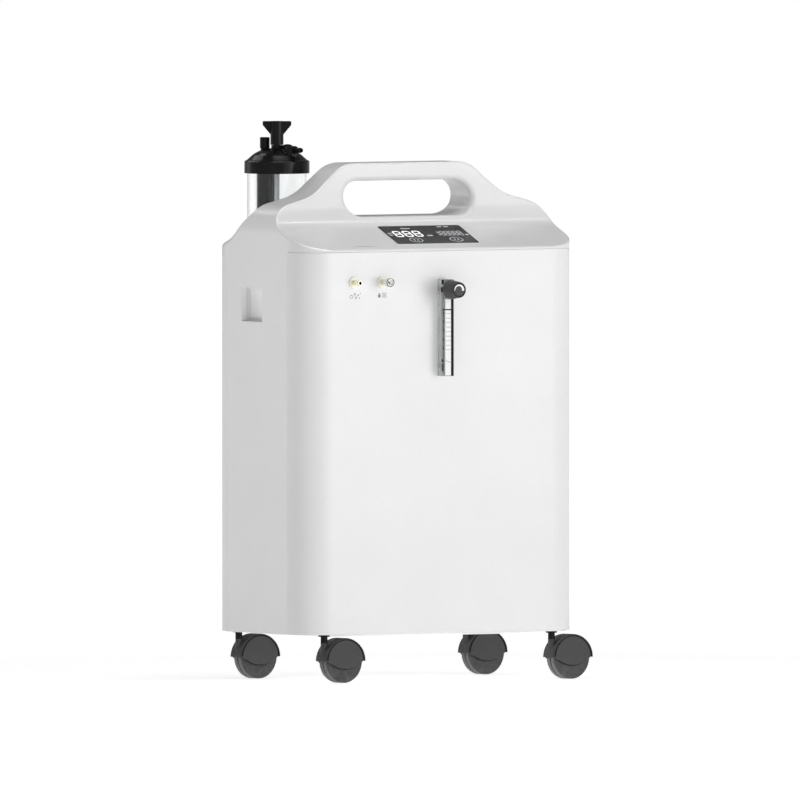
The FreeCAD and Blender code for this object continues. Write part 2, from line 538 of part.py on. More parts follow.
nut = cyl(7.5, (JAR_X, JAR_Y, 614.6), (JAR_X, JAR_Y, NUT_TOP))
wing = Part.Face(Part.makePolygon([V(-16.5, -1.5, 642.0), V(16.5, -1.5, 642.0), V(16.5, -1.5, 637.5), V(7.0, -1.5, 626.0),
                                   V(-7.0, -1.5, 626.0), V(-16.5, -1.5, 637.5), V(-16.5, -1.5, 642.0)])).extrude(V(0, 3.0, 0))
wing = wing.makeFillet(1.4, [e for e in wing.Edges if e.BoundBox.YLength > 2.5 and e.BoundBox.ZMin > 630])
wing.translate(V(0, 0, NUT_TOP - 642.0))
wing.rotate(V(0, 0, 0), V(0, 0, 1), -30.5)
wing.translate(V(JAR_X, JAR_Y, 0))
nut = fuse([nut, wing])
nut = nut.cut(cyl(5.2, (JAR_X, JAR_Y, 629.5), (JAR_X, JAR_Y, 650)))
nut = nut.cut(cyl(3.45, (JAR_X, JAR_Y, 600), (JAR_X, JAR_Y, 630)))
add("humidifier_wing_nut", nut)

dip = cyl(3.0, (JAR_X, JAR_Y, 462.0), (JAR_X, JAR_Y, 602.5)).cut(cyl(2.0, (JAR_X, JAR_Y, 460.0), (JAR_X, JAR_Y, 607.0)))
add("humidifier_dip_tube", dip)
add("humidifier_diffuser", revolve([(0, 0), (4.5, 0), (5.5, 1.5), (5.5, 10.5), (4.5, 12), (0, 12)], (JAR_X, JAR_Y, 450.0)))
tx, ty = off(-12.6, -8.5)
baf = revolve([(9.6, 0), (11.0, 0), (11.0, 120.0), (9.6, 120.0)], (tx, ty, 474.0))
baf = baf.common(cyl(31.0, (JAR_X, JAR_Y, 470), (JAR_X, JAR_Y, 600)))
add("humidifier_baffle_tube", baf)

# ---------------------------------------------------------------- power inlet, switch and breaker
yb = BACK_Y
inlet = fuse([box(IN_X - 13.9, yb - 24, IN_Z - 9.9, IN_X + 13.9, yb, IN_Z + 9.9),
              box(IN_X - 16.5, yb + 0.05, IN_Z - 12.5, IN_X + 16.5, yb + 2.2, IN_Z + 12.5),
              box(IN_X - 13.9, yb - 0.2, IN_Z - 9.9, IN_X + 13.9, yb + 0.3, IN_Z + 9.9)])
socket = box(IN_X - 12.0, yb - 17, IN_Z - 8.2, IN_X + 12.0, yb + 5, IN_Z + 8.2)
inlet = inlet.cut(socket)
for px_, pz_ in ((-7.0, -1.8), (0.0, 2.2), (7.0, -1.8)):
    inlet = inlet.fuse(box(IN_X + px_ - 1.0, yb - 18, IN_Z + pz_ - 2.0, IN_X + px_ + 1.0, yb - 3.0, IN_Z + pz_ + 2.0))
add("power_inlet", inlet.removeSplitter())

bez = fuse([box(RK_X - 13.9, yb - 20, RK_Z - 9.9, RK_X + 13.9, yb + 0.3, RK_Z + 9.9),
            box(RK_X - 16.0, yb + 0.05, RK_Z - 12.0, RK_X + 16.0, yb + 1.8, RK_Z + 12.0)])
bez = bez.cut(box(RK_X - 11.5, yb - 14, RK_Z - 8.4, RK_X + 11.5, yb + 5, RK_Z + 8.4))
bez = bez.cut(cyl(1.46, (RK_X - 13.0, yb - 4.0, RK_Z), (RK_X + 13.0, yb - 4.0, RK_Z)))
add("power_switch_bezel", bez)
# rocker: two sloped faces about a pivot across X, rest with its lower half pressed in
rk = Part.Face(Part.makePolygon([V(RK_X - 11.0, -7.0, -7.3), V(RK_X - 11.0, 1.6, -7.3), V(RK_X - 11.0, 0.5, 0), V(RK_X - 11.0, 1.6, 7.3),
                                 V(RK_X - 11.0, -7.0, 7.3), V(RK_X - 11.0, -7.0, -7.3)])).extrude(V(22.0, 0, 0))
rk = rk.cut(box(RK_X - 12, -8, -8, RK_X + 12, -1.8, -4.2)).cut(box(RK_X - 12, -8, 4.2, RK_X + 12, -1.8, 8))
rk = fuse([rk, cyl(1.4, (RK_X - 12.7, -3.0, 0), (RK_X + 12.7, -3.0, 0))])
rk.rotate(V(RK_X, -3.0, 0), V(1, 0, 0), 8.0)
rk.translate(V(0, yb - 1.0, RK_Z))
add("power_rocker", rk)

brk = fuse([cyl(5.9, (BRK_X, yb - 26, BRK_Z), (BRK_X, yb + 0.3, BRK_Z)), cyl(8.0, (BRK_X, yb + 0.05, BRK_Z), (BRK_X, yb + 1.6, BRK_Z))])
brk = brk.cut(cyl(3.6, (BRK_X, yb - 8, BRK_Z), (BRK_X, yb + 5, BRK_Z)))
add("breaker_body", brk)
btn = cyl(3.3, (BRK_X, yb - 4.0, BRK_Z), (BRK_X, yb + 3.4, BRK_Z))
btn = btn.makeFillet(0.6, [e for e in btn.Edges if abs(e.BoundBox.YMin - (yb + 3.4)) < 0.01 and e.BoundBox.YLength < 0.01])
add("breaker_button", btn)

# ---------------------------------------------------------------- inside: compressor
MX, MY, MZ = -14.0, 0.0, 145.0
motor = fuse([cyl(52.0, (MX - 58, MY, MZ), (MX + 58, MY, MZ)),
              box(MX - 58, MY - 30, 92.0, MX + 58, MY + 30, 112.0),
              box(MX - 64, MY - 60, 89.0, MX + 64, MY + 60, 92.5)])
fins = []
for i in range(9):
    x = MX - 44 + i * 11
    fins.append(cyl(55.0, (x - 1.2, MY, MZ), (x + 1.2, MY, MZ)))
motor = fuse([motor] + fins).common(box(-200, -200, 89, 200, 200, 300))
add("compressor_motor", motor)
heads = []
for s in (-1, 1):
    x0 = MX + s * 58.2
    x1 = MX + s * 86.0
    cx = (x0 + x1) / 2
    h = fuse([box(min(x0, x1), -34, 108, max(x0, x1), 34, 180), cyl(13.6, (cx, 0, 179), (cx, 0, 192)),
              box(cx - 13.8, -28, 190, cx + 13.8, 28, 206)])
    for k in range(4):
        h = h.fuse(box(cx - 13.8, -24 + 14 * k, 205.8, cx + 13.8, -19 + 14 * k, 212))
    heads.append(h.removeSplitter())
add("compressor_heads", Part.makeCompound(heads))
mounts = []
for sx in (-1, 1):
    for sy in (-1, 1):
        mounts.append(revolve([(0, 0), (11, 0), (11, 4), (7.5, 9), (7.5, 21), (11, 26), (11, 30.3), (0, 30.3)],
                              (MX + sx * 50, sy * 48, BASE_TOP + 0.05)))
add("compressor_mounts", Part.makeCompound(mounts))

# ---------------------------------------------------------------- inside: frame, tanks, valves
fr = fuse([box(91.0, -64, BASE_TOP + 0.05, 92.5, 62, 400), box(80.0, -64, BASE_TOP + 0.05, 92.5, 62, BASE_TOP + 1.6),
           box(-172, -86, 236.0, 92.5, 62, 237.6), box(-172, -86, 222.0, -170.5, 62, 237.6)])
fr = fr.cut(cyl(56.0, (-14, 0, 230), (-14, 0, 245)))
add("inner_frame", fr)

tanks = []
for ty_ in (-40.0, 40.0):
    t = revolve([(0, 0), (34, 0), (37, 3), (37, 12), (35.5, 14), (35.5, 322), (37, 324), (37, 333), (34, 336), (0, 336)],
                (138.0, ty_, BASE_TOP + 0.1))
    tanks.append(t)
add("sieve_tanks", Part.makeCompound(tanks))
TANK_TOP = BASE_TOP + 336.1
vb = fuse([box(112, -66, TANK_TOP + 0.2, 164, 66, TANK_TOP + 24), box(122, -20, TANK_TOP + 23, 154, 20, TANK_TOP + 30)])
add("valve_block", vb)
sol = []
for y in (-50.0, -32.0, 32.0, 50.0):
    sol.append(fuse([cyl(8.0, (138, y, TANK_TOP + 24.1), (138, y, TANK_TOP + 50)),
                     cyl(3.0, (138, y, TANK_TOP + 49), (138, y, TANK_TOP + 56))]))
add("valve_solenoids", Part.makeCompound(sol))

ot = revolve([(0, 0), (30, 0), (34, 5), (34, 165), (28, 172), (6, 172), (6, 178), (0, 178)], (-128.0, 46.0, 237.8))
add("oxygen_tank", ot)
cap = revolve([(0, 0), (20, 0), (20, 74), (19, 76), (5, 76), (5, 80), (0, 80)], (-108.0, -42.0, 237.8))
add("start_capacitor", cap)

# fan: square frame with a round duct, seven-blade rotor
FX, FY, FZ = -14.0, 0.0, 237.8
ff = box(FX - 60, FY - 60, FZ, FX + 60, FY + 60, FZ + 40).cut(cyl(56.0, (FX, FY, FZ - 1), (FX, FY, FZ + 41)))
arms = [cyl(19.0, (FX, FY, FZ), (FX, FY, FZ + 3.0))]
for k in range(4):
    a = box(0, -3, 0, 57, 3, 3.0)
    a.rotate(V(0, 0, 0), V(0, 0, 1), 45 + 90 * k)
    a.translate(V(FX, FY, FZ))
    arms.append(a)
ff = fuse([ff] + arms)
ff = ff.fuse(cyl(3.0, (FX, FY, FZ + 2.8), (FX, FY, FZ + 14)))
for sx in (-1, 1):
    for sy in (-1, 1):
        ff = ff.cut(cyl(2.2, (FX + sx * 52.5, FY + sy * 52.5, FZ - 1), (FX + sx * 52.5, FY + sy * 52.5, FZ + 41)))
add("fan_frame", ff.removeSplitter())
rotor = [cyl(20.0, (FX, FY, FZ + 5), (FX, FY, FZ + 27))]
for k in range(7):
    bl = box(17, -1.2, -12, 53.5, 1.2, 12)
    bl.rotate(V(0, 0, 0), V(1, 0, 0), 48)
    bl.rotate(V(0, 0, 0), V(0, 0, 1), k * 360.0 / 7.0)
    bl.translate(V(FX, FY, FZ + 17))
    rotor.append(bl)
rotor = fuse(rotor).cut(cyl(3.05, (FX, FY, FZ + 4), (FX, FY, FZ + 14.3)))
rotor = rotor.common(cyl(54.0, (FX, FY, FZ + 5), (FX, FY, FZ + 28)))
add("fan_rotor", rotor)

# cooling coil: one flat serpentine of tube above the motor
runs = []
CZ, CR, PITCH, NR = 219.0, 4.0, 16.0, 5
cx0 = MX - PITCH * (NR - 1) / 2.0
edges = []
for i in range(NR):
    x = cx0 + i * PITCH
    y0, y1 = (-50.0, 50.0) if i % 2 == 0 else (50.0, -50.0)
    edges.append(Part.makeLine(V(x, y0, CZ), V(x, y1, CZ)))
    if i < NR - 1:
        s = 1 if y1 > 0 else -1
        edges.append(Part.Arc(V(x, y1, CZ), V(x + PITCH / 2, y1 + s * PITCH / 2, CZ), V(x + PITCH, y1, CZ)).toShape())
wire = Part.Wire(edges)
coil = wire.makePipeShell([Part.Wire([Part.Circle(V(cx0, -50, CZ), V(0, 1, 0), CR).toShape()])], True, True)
add("cooling_coil", coil)

mf = revolve([(0, 0), (21, 0), (24, 4), (24, 86), (21, 90), (7, 90), (7, 98), (0, 98)], (-148.0, 34.0, BASE_TOP + 0.1))
add("exhaust_muffler", mf)
fc = fuse([cyl(32.0, (0, 52, 345), (0, TR_Y0 - 0.3, 345)), cyl(30.0, (0, 38, 345), (0, 52.5, 345)), cyl(7.0, (0, 26, 345), (0, 38.5, 345))])
add("intake_filter", fc)
reg = fuse([cyl(18.0, (60, -70, 300), (60, -70, 322)), cyl(12.0, (60, -70, 321), (60, -70, 344)), cyl(4.0, (60, -70, 343), (60, -70, 352)),
            box(72, -78, 300, 90.8, -62, 318)])
add("pressure_regulator", reg)
bf = fuse([cyl(15.0, (-30, -84, 400), (-30, -84, 416)), cyl(4.0, (-30, -84, 388), (-30, -84, 401)), cyl(4.0, (-30, -84, 415), (-30, -84, 428))])
add("bacteria_filter", bf)
pcb = box(-164, -90, 250, -44, -88.4, 372)
comps = [box(-155, -88.6, 300, -115, -66, 345), box(-100, -88.6, 330, -80, -74, 360), box(-72, -88.6, 262, -52, -72, 300),
         cyl(7, (-140, -88.6, 275), (-140, -62, 275)), cyl(7, (-120, -88.6, 275), (-120, -62, 275)), box(-100, -88.6, 262, -84, -80, 312)]
add("main_board", fuse([pcb] + comps))

# ---------------------------------------------------------------- inner hoses
HR = 4.0
h1 = tube_path([(MX - 72, 0, 212.2), (MX - 72, 0, 228), (MX - 72 - 18, 30, 228), (-148, 34, 200), (-148, 34, BASE_TOP + 98.3)], HR)
h2 = tube_path([(-128, 46, 416.0), (-128, 46, 428), (-100, 10, 430), (-60, -60, 425), (-30, -84, 440), (-30, -84, 428.2)], HR)
h3 = tube_path([(NEB_X, -HD + 18.2, NEB_Z), (NEB_X, -HD + 30, NEB_Z), (-60, -HD + 36, 445), (-52, -HD + 34, 400), (-30, -84, 375), (-30, -84, 387.8)], HR)
add("inner_hoses", Part.makeCompound([h1, h2, h3]))

# ---------------------------------------------------------------- casters
cx_, cz_ = CAST_TRAIL, WHEEL_R


def caster():
    """Hood, stem and wheel about the swivel axis at the origin, heading +X."""
    ell = Part.Ellipse(V(cx_, -HOOD_W / 2, cz_), HOOD_RX, HOOD_RZ)
    ell.Axis = V(0, -1, 0)
    face = Part.Face(Part.Wire([ell.toShape()]))
    full = face.extrude(V(0, HOOD_W, 0))
    b = full.BoundBox
    upper = full.common(box(-60, -30, cz_, 90, 30, 90))
    upper = upper.makeFillet(1.6, [e for e in upper.Edges if e.BoundBox.YLength < 1e-6 and e.BoundBox.ZLength > 5])
    disc = cyl(25.4, (cx_, -HOOD_W / 2, cz_), (cx_, HOOD_W / 2, cz_))
    smile = cyl(36.0, (cx_ - 0.5, -20, 51.1), (cx_ - 0.5, 20, 51.1))
    cheeks = disc.common(smile).common(box(-60, -30, 0, 90, 30, cz_ + 1))
    neck = cyl(4.0, (0, 0, 30), (0, 0, 46.0))
    hood = fuse([upper, cheeks, neck])
    hood = hood.cut(cyl(26.0, (cx_, -8.8, cz_), (cx_, 8.8, cz_)))
    hood = hood.cut(box(cx_ - 26.0, -8.8, 0, cx_ + 26.0, 8.8, cz_))
    hood = hood.cut(cyl(2.5, (0, 0, 42.6), (0, 0, 60)))
    hood = hood.cut(cyl(4.05, (cx_, -9.9, cz_), (cx_, 9.9, cz_)))
    stem_ = fuse([cyl(2.5, (0, 0, 42.6), (0, 0, 46.5)), cyl(4.0, (0, 0, 46.0), (0, 0, 53.4)),
                  cyl(6.6, (0, 0, 53.3), (0, 0, 54.9)), cyl(5.0, (0, 0, 54.8), (0, 0, 79.5))])
    wheel = revolve([(0, -9.6), (4.0, -9.6), (4.0, -8.5), (23.6, -8.5), (25.0, -7.1), (25.0, -0.6), (24.2, -0.3),
                     (24.2, 0.3), (25.0, 0.6), (25.0, 7.1), (23.6, 8.5), (4.0, 8.5), (4.0, 9.6), (0, 9.6)], (0, 0, 0))
    wheel.rotate(V(0, 0, 0), V(1, 0, 0), 90)
    wheel.translate(V(cx_, 0, cz_))
    return hood.removeSplitter(), stem_, wheel


hood0, stem0, wheel0 = caster()
for tag, sx, sy in (("fl", -1, -1), ("fr", 1, -1), ("rl", -1, 1), ("rr", 1, 1)):
    for nm, s in (("hood", hood0), ("stem", stem0), ("wheel", wheel0)):
        add("caster_%s_%s" % (tag, nm), place(s, sx * CAST_X, sy * CAST_Y, 0, CAST_HEADING))

# ---------------------------------------------------------------- export
bb = None
for name, shape in nodes.items():
    shape.translate(V(-SHIFT_X, -SHIFT_Y, 0))
    if not shape.isValid():
        print("INVALID", name)
    if True:
        bb = FreeCAD.BoundBox(shape.BoundBox) if bb is None else bb.united(shape.BoundBox)
    shape.exportStep("parts/%s.step" % name)
print(len(nodes), "nodes; box", bb)
for name, shape in nodes.items():
    print("%-26s solids %d vol %9.1f" % (name, len(shape.Solids), shape.Volume))
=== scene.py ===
import math

import bmesh
import bpy
from mathutils import Matrix, Vector
from mathutils.bvhtree import BVHTree


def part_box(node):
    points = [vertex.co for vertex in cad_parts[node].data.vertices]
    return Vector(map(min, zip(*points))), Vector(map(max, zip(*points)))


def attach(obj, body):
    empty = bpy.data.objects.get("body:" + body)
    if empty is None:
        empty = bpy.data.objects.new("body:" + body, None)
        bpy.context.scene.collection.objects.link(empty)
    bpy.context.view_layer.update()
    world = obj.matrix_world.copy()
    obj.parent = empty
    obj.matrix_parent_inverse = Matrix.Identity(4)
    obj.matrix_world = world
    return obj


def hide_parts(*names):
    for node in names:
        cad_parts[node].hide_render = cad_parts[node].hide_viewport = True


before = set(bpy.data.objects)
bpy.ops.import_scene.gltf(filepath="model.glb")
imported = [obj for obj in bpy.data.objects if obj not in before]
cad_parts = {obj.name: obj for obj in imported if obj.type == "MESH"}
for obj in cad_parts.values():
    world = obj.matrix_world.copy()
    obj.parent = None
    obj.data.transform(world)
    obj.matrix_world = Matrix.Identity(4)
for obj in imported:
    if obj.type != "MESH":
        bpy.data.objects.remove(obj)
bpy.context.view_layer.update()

# ------------------------------------------------------------------ places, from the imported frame
_lo, _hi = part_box("outer_shell")
CX = (_lo[0] + _hi[0]) / 2.0
CY = (_lo[1] + _hi[1]) / 2.0
FRONT = _lo[1]


def P(x, y, z):
    """A point in millimetres from the middle of the cabinet, in the frame's metres."""
    return Vector((x / 1000.0 + CX, y / 1000.0 + CY, z / 1000.0))


HD = (_hi[1] - _lo[1]) * 500.0
HW = (_hi[0] - _lo[0]) * 500.0

# ------------------------------------------------------------------ mesh helpers


def link(o):
    bpy.context.scene.collection.objects.link(o)
    return o


def smooth(o, angle=40.0):
    me = o.data
    bm = bmesh.new()
    bm.from_mesh(me)
    bmesh.ops.remove_doubles(bm, verts=bm.verts, dist=1e-8)
    bmesh.ops.recalc_face_normals(bm, faces=bm.faces)
    lim = math.radians(angle)
    for f in bm.faces:
        f.smooth = True
    for e in bm.edges:
        if len(e.link_faces) == 2:
            e.smooth = e.calc_face_angle(0.0) < lim
    bm.to_mesh(me)
    bm.free()
    return o


def mesh(name, verts, faces, angle=40.0):
    me = bpy.data.meshes.new(name)
    me.from_pydata([tuple(v) for v in verts], [], faces)
    o = link(bpy.data.objects.new(name, me))
    return smooth(o, angle)


def bevel(o, w, seg=2):
    m = o.modifiers.new("edges", "BEVEL")
    m.width = w
    m.segments = seg
    m.limit_method = "ANGLE"
    m.angle_limit = math.radians(35)
    m.harden_normals = True
    return o


def basis(axis):
    w = Vector(axis).normalized()
    u = Vector((1, 0, 0)) if abs(w.x) < 0.9 else Vector((0, 1, 0))
    u = (u - w * u.dot(w)).normalized()
    return u, w.cross(u), w


def lathe_parts(profile, base, axis=(0, 0, 1), n=96, closed=True):
    """verts, faces of a turned shape; profile is (radius, height) in mm, base a point in metres."""
    u, v, w = basis(axis)
    base = Vector(base)
    verts, faces, rings = [], [], []
    for r, h in profile:
        if r < 1e-6:
            rings.append([len(verts)])
            verts.append(base + w * (h / 1000.0))
        else:
            ring = []
            for i in range(n):
                a = 2 * math.pi * i / n
                ring.append(len(verts))
                verts.append(base + w * (h / 1000.0) + (u * math.cos(a) + v * math.sin(a)) * (r / 1000.0))
            rings.append(ring)
    pairs = list(zip(rings, rings[1:] + (rings[:1] if closed else [])))
    if not closed:
        pairs = list(zip(rings, rings[1:]))
    for a, b in pairs:
        if len(a) == 1 and len(b) == 1:
            continue
        for i in range(n):
            j = (i + 1) % n
            if len(a) == 1:
                faces.append((a[0], b[j], b[i]))
            elif len(b) == 1:
                faces.append((a[i], a[j], b[0]))
            else:
                faces.append((a[i], a[j], b[j], b[i]))
    return verts, faces


def lathe(name, profile, base, axis=(0, 0, 1), n=96, closed=True, angle=35.0):
    v, f = lathe_parts(profile, base, axis, n, closed)
    return mesh(name, v, f, angle)


class Bag:
    """Collects closed shapes into one mesh."""

    def __init__(self):
        self.v, self.f = [], []

    def add(self, verts, faces):
        k = len(self.v)
        self.v += [Vector(p) for p in verts]
        self.f += [tuple(i + k for i in f) for f in faces]

    def prism(self, pts, to3d, h0, h1):
        """Outline pts (2-D, counter-clockwise) between heights h0 and h1."""
        n = len(pts)
        vs = [to3d(x, y, h0) for x, y in pts] + [to3d(x, y, h1) for x, y in pts]
        fs = [tuple(range(n - 1, -1, -1)), tuple(range(n, 2 * n))]
        for i in range(n):
            j = (i + 1) % n
            fs.append((i, j, n + j, n + i))
        self.add(vs, fs)

    def ringprism(self, outer, inner, to3d, h0, h1):
        """Closed band between two outlines that have the same number of points."""
        n = len(outer)
        vs = []
        for h in (h0, h1):
            vs += [to3d(x, y, h) for x, y in outer]
            vs += [to3d(x, y, h) for x, y in inner]
        fs = []
        for i in range(n):
            j = (i + 1) % n
            fs.append((i, j, 2 * n + j, 2 * n + i))
            fs.append((n + j, n + i, 3 * n + i, 3 * n + j))
            fs.append((2 * n + i, 2 * n + j, 3 * n + j, 3 * n + i))
            fs.append((j, i, n + i, n + j))
        self.add(vs, fs)

    def strip(self, outer, inner, to3d, h0, h1):
        """Open band between two lines that have the same number of points, closed at both ends."""
        n = len(outer)
        vs = []
        for (a, b), (c, d) in zip(outer, inner):
            vs += [to3d(a, b, h0), to3d(a, b, h1), to3d(c, d, h1), to3d(c, d, h0)]
        fs = [(3, 2, 1, 0), (4 * n - 4, 4 * n - 3, 4 * n - 2, 4 * n - 1)]
        for i in range(n - 1):
            for k in range(4):
                l = (k + 1) % 4
                fs.append((i * 4 + k, i * 4 + l, (i + 1) * 4 + l, (i + 1) * 4 + k))
        self.add(vs, fs)

    def make(self, name, angle=35.0):
        return mesh(name, self.v, self.f, angle)


def round_rect(x0, y0, x1, y1, r, n=5):
    pts = []
    for cx, cy, a0 in ((x1 - r, y0 + r, -90), (x1 - r, y1 - r, 0), (x0 + r, y1 - r, 90), (x0 + r, y0 + r, 180)):
        for i in range(n + 1):
            a = math.radians(a0 + 90.0 * i / n)
            pts.append((cx + r * math.cos(a), cy + r * math.sin(a)))
    return pts


def ellipse(cx, cy, rx, ry, n=40, a0=0.0, a1=360.0):
    full = abs(a1 - a0) >= 359.9
    m = n if full else n + 1
    return [(cx + rx * math.cos(math.radians(a0 + (a1 - a0) * i / n)), cy + ry * math.sin(math.radians(a0 + (a1 - a0) * i / n))) for i in range(m)]


def band(pts, w):
    """Open polyline to a closed strip of width w."""
    left, right = [], []
    for i, (x, y) in enumerate(pts):
        ax, ay = pts[max(i - 1, 0)]
        bx, by = pts[min(i + 1, len(pts) - 1)]
        d = math.hypot(bx - ax, by - ay)
        nx, ny = -(by - ay) / d, (bx - ax) / d
        left.append((x + nx * w / 2, y + ny * w / 2))
        right.append((x - nx * w / 2, y - ny * w / 2))
    return right + left[::-1]


# ------------------------------------------------------------------ materials
def socket(b, name, value):
    if name in b.inputs:
        b.inputs[name].default_value = value


class Mat:
    def __init__(self, name):
        self.m = bpy.data.materials.new(name)
        self.m.use_nodes = True
        self.nt = self.m.node_tree
        self.nt.nodes.clear()
        self.out = self.nt.nodes.new("ShaderNodeOutputMaterial")
        self.b = self.nt.nodes.new("ShaderNodeBsdfPrincipled")
        self.nt.links.new(self.b.outputs[0], self.out.inputs[0])
        self.tc = self.nt.nodes.new("ShaderNodeTexCoord")
        self.h = None

    def node(self, kind, **kw):
        n = self.nt.nodes.new(kind)
        for k, v in kw.items():
            setattr(n, k, v)
        return n

    def link(self, a, b):
        self.nt.links.new(a, b)

    def noise(self, scale, detail=3.0, rough=0.5, stretch=None):
        n = self.node("ShaderNodeTexNoise")
        n.inputs["Scale"].default_value = scale
        n.inputs["Detail"].default_value = detail
        n.inputs["Roughness"].default_value = rough
        src = self.tc.outputs["Object"]
        if stretch:
            mp = self.node("ShaderNodeMapping")
            mp.inputs["Scale"].default_value = stretch
            self.link(src, mp.inputs["Vector"])
            src = mp.outputs["Vector"]
        self.link(src, n.inputs["Vector"])
        return n.outputs["Fac"]

    def voronoi(self, scale, feature="F1", stretch=None):
        n = self.node("ShaderNodeTexVoronoi")
        n.feature = feature
        n.inputs["Scale"].default_value = scale
        src = self.tc.outputs["Object"]
        if stretch:
            mp = self.node("ShaderNodeMapping")
            mp.inputs["Scale"].default_value = stretch
            self.link(src, mp.inputs["Vector"])
            src = mp.outputs["Vector"]
        self.link(src, n.inputs["Vector"])
        return n.outputs["Distance"]

    def ramp(self, fac, stops):
        r = self.node("ShaderNodeValToRGB")
        els = r.color_ramp.elements
        while len(els) < len(stops):
            els.new(0.5)
        for e, (p, c) in zip(els, stops):
            e.position = p
            e.color = (c[0], c[1], c[2], 1.0)
        self.link(fac, r.inputs[0])
        return r.outputs[0]

    def remap(self, fac, a, b, lo, hi):
        r = self.node("ShaderNodeMapRange")
        r.inputs["From Min"].default_value = a
        r.inputs["From Max"].default_value = b
        r.inputs["To Min"].default_value = lo
        r.inputs["To Max"].default_value = hi
        self.link(fac, r.inputs["Value"])
        return r.outputs[0]

    def math(self, op, a, b):
        n = self.node("ShaderNodeMath")
        n.operation = op
        for i, v in enumerate((a, b)):
            if isinstance(v, (int, float)):
                n.inputs[i].default_value = v
            else:
                self.link(v, n.inputs[i])
        return n.outputs[0]

    def mixcol(self, fac, a, b, mode="MIX"):
        n = self.node("ShaderNodeMix")
        n.data_type = "RGBA"
        n.blend_type = mode
        if isinstance(fac, (int, float)):
            n.inputs["Factor"].default_value = fac
        else:
            self.link(fac, n.inputs["Factor"])
        for sock, v in ((n.inputs[6], a), (n.inputs[7], b)):
            if isinstance(v, tuple):
                sock.default_value = (v[0], v[1], v[2], 1.0)
            else:
                self.link(v, sock)
        return n.outputs[2]

    def height(self):
        """Object-space height, in metres."""
        s = self.node("ShaderNodeSeparateXYZ")
        self.link(self.tc.outputs["Object"], s.inputs[0])
        return s.outputs[2]

    def color(self, out):
        self.link(out, self.b.inputs["Base Color"])

    def rough(self, out):
        self.link(out, self.b.inputs["Roughness"])

    def bump(self, height, strength, distance):
        n = self.node("ShaderNodeBump")
        n.inputs["Strength"].default_value = strength
        n.inputs["Distance"].default_value = distance
        self.link(height, n.inputs["Height"])
        if self.h is not None:
            self.link(self.h, n.inputs["Normal"])
        self.h = n.outputs["Normal"]
        self.link(self.h, self.b.inputs["Normal"])


def pass_light(m, tint):
    """Clear plastic throws only a weak shadow: shadow rays go through, tinted."""
    lp = m.node("ShaderNodeLightPath")
    tr = m.node("ShaderNodeBsdfTransparent")
    tr.inputs[0].default_value = (tint, tint, tint, 1.0)
    mx = m.node("ShaderNodeMixShader")
    m.link(lp.outputs["Is Shadow Ray"], mx.inputs[0])
    m.link(m.b.outputs[0], mx.inputs[1])
    m.link(tr.outputs[0], mx.inputs[2])
    m.link(mx.outputs[0], m.out.inputs[0])


def scaled(c, k):
    return tuple(min(1.0, x * k) for x in c)


def plastic(name, col, rough=0.36, vary=0.02, rv=0.05, grain=1400.0, depth=0.00003, strength=0.25, dust=0.0, coat=0.0,
            coat_rough=0.12, spec=0.5, flow=True):
    """Injection-moulded plastic: slight colour drift, fine eroded grain, uneven gloss and faint moulding waviness."""
    m = Mat(name)
    broad = m.noise(9.0, 3.0)
    fine = m.noise(260.0, 4.0, 0.6)
    c = m.ramp(broad, [(0.3, scaled(col, 1.0 - vary)), (0.7, scaled(col, 1.0 + vary))])
    sp = m.ramp(fine, [(0.35, (1.0 - vary * 0.8,) * 3), (0.6, (1.0, 1.0, 1.0))])
    c = m.mixcol(1.0, c, sp, "MULTIPLY")
    if dust > 0:
        h = m.remap(m.height(), 0.0, 0.03, 1.0, 0.0)
        d = m.math("MULTIPLY", h, m.remap(m.noise(130.0, 5.0, 0.7), 0.35, 0.75, 0.0, dust))
        c = m.mixcol(d, c, (0.32, 0.31, 0.29))
    m.color(c)
    m.rough(m.remap(m.noise(55.0, 4.0, 0.6), 0.3, 0.7, rough - rv, rough + rv))
    socket(m.b, "Specular IOR Level", spec)
    if coat:
        socket(m.b, "Coat Weight", coat)
        socket(m.b, "Coat Roughness", coat_rough)
    m.bump(m.noise(grain, 2.0, 0.5), strength, depth)
    if flow:
        m.bump(m.noise(7.0, 1.0, 0.4), 0.12, 0.0006)
    return m.m


def metal(name, col, rough=0.3, rv=0.08, stretch=None, scale=900.0, strength=0.2, vary=0.06, depth=0.00004):
    """Metal with machining or casting marks and tarnish in patches."""
    m = Mat(name)
    c = m.ramp(m.noise(35.0, 5.0, 0.65), [(0.3, scaled(col, 1.0 - vary)), (0.55, col), (0.8, scaled(col, 1.0 + vary))])
    m.color(c)
    socket(m.b, "Metallic", 1.0)
    m.rough(m.remap(m.noise(160.0, 4.0, 0.6, stretch), 0.3, 0.7, rough - rv, rough + rv))
    m.bump(m.noise(scale, 3.0, 0.6, stretch), strength, depth)
    return m.m


def clear(name, tint, rough=0.03, ior=1.49, trans=1.0, bump=0.08, spec=0.3):
    """Clear moulded plastic: near even, with faint drag lines and fine marks in the gloss."""
    m = Mat(name)
    m.color(m.ramp(m.noise(20.0, 2.0), [(0.3, scaled(tint, 0.985)), (0.7, tint)]))
    m.rough(m.remap(m.noise(90.0, 4.0, 0.6), 0.35, 0.7, max(0.005, rough * 0.5), rough * 1.6))
    socket(m.b, "Transmission Weight", trans)
    socket(m.b, "IOR", ior)
    socket(m.b, "Specular IOR Level", spec)
    m.bump(m.noise(18.0, 2.0, 0.5, (1.0, 1.0, 0.25)), bump, 0.0004)
    pass_light(m, 0.88)
    return m.m


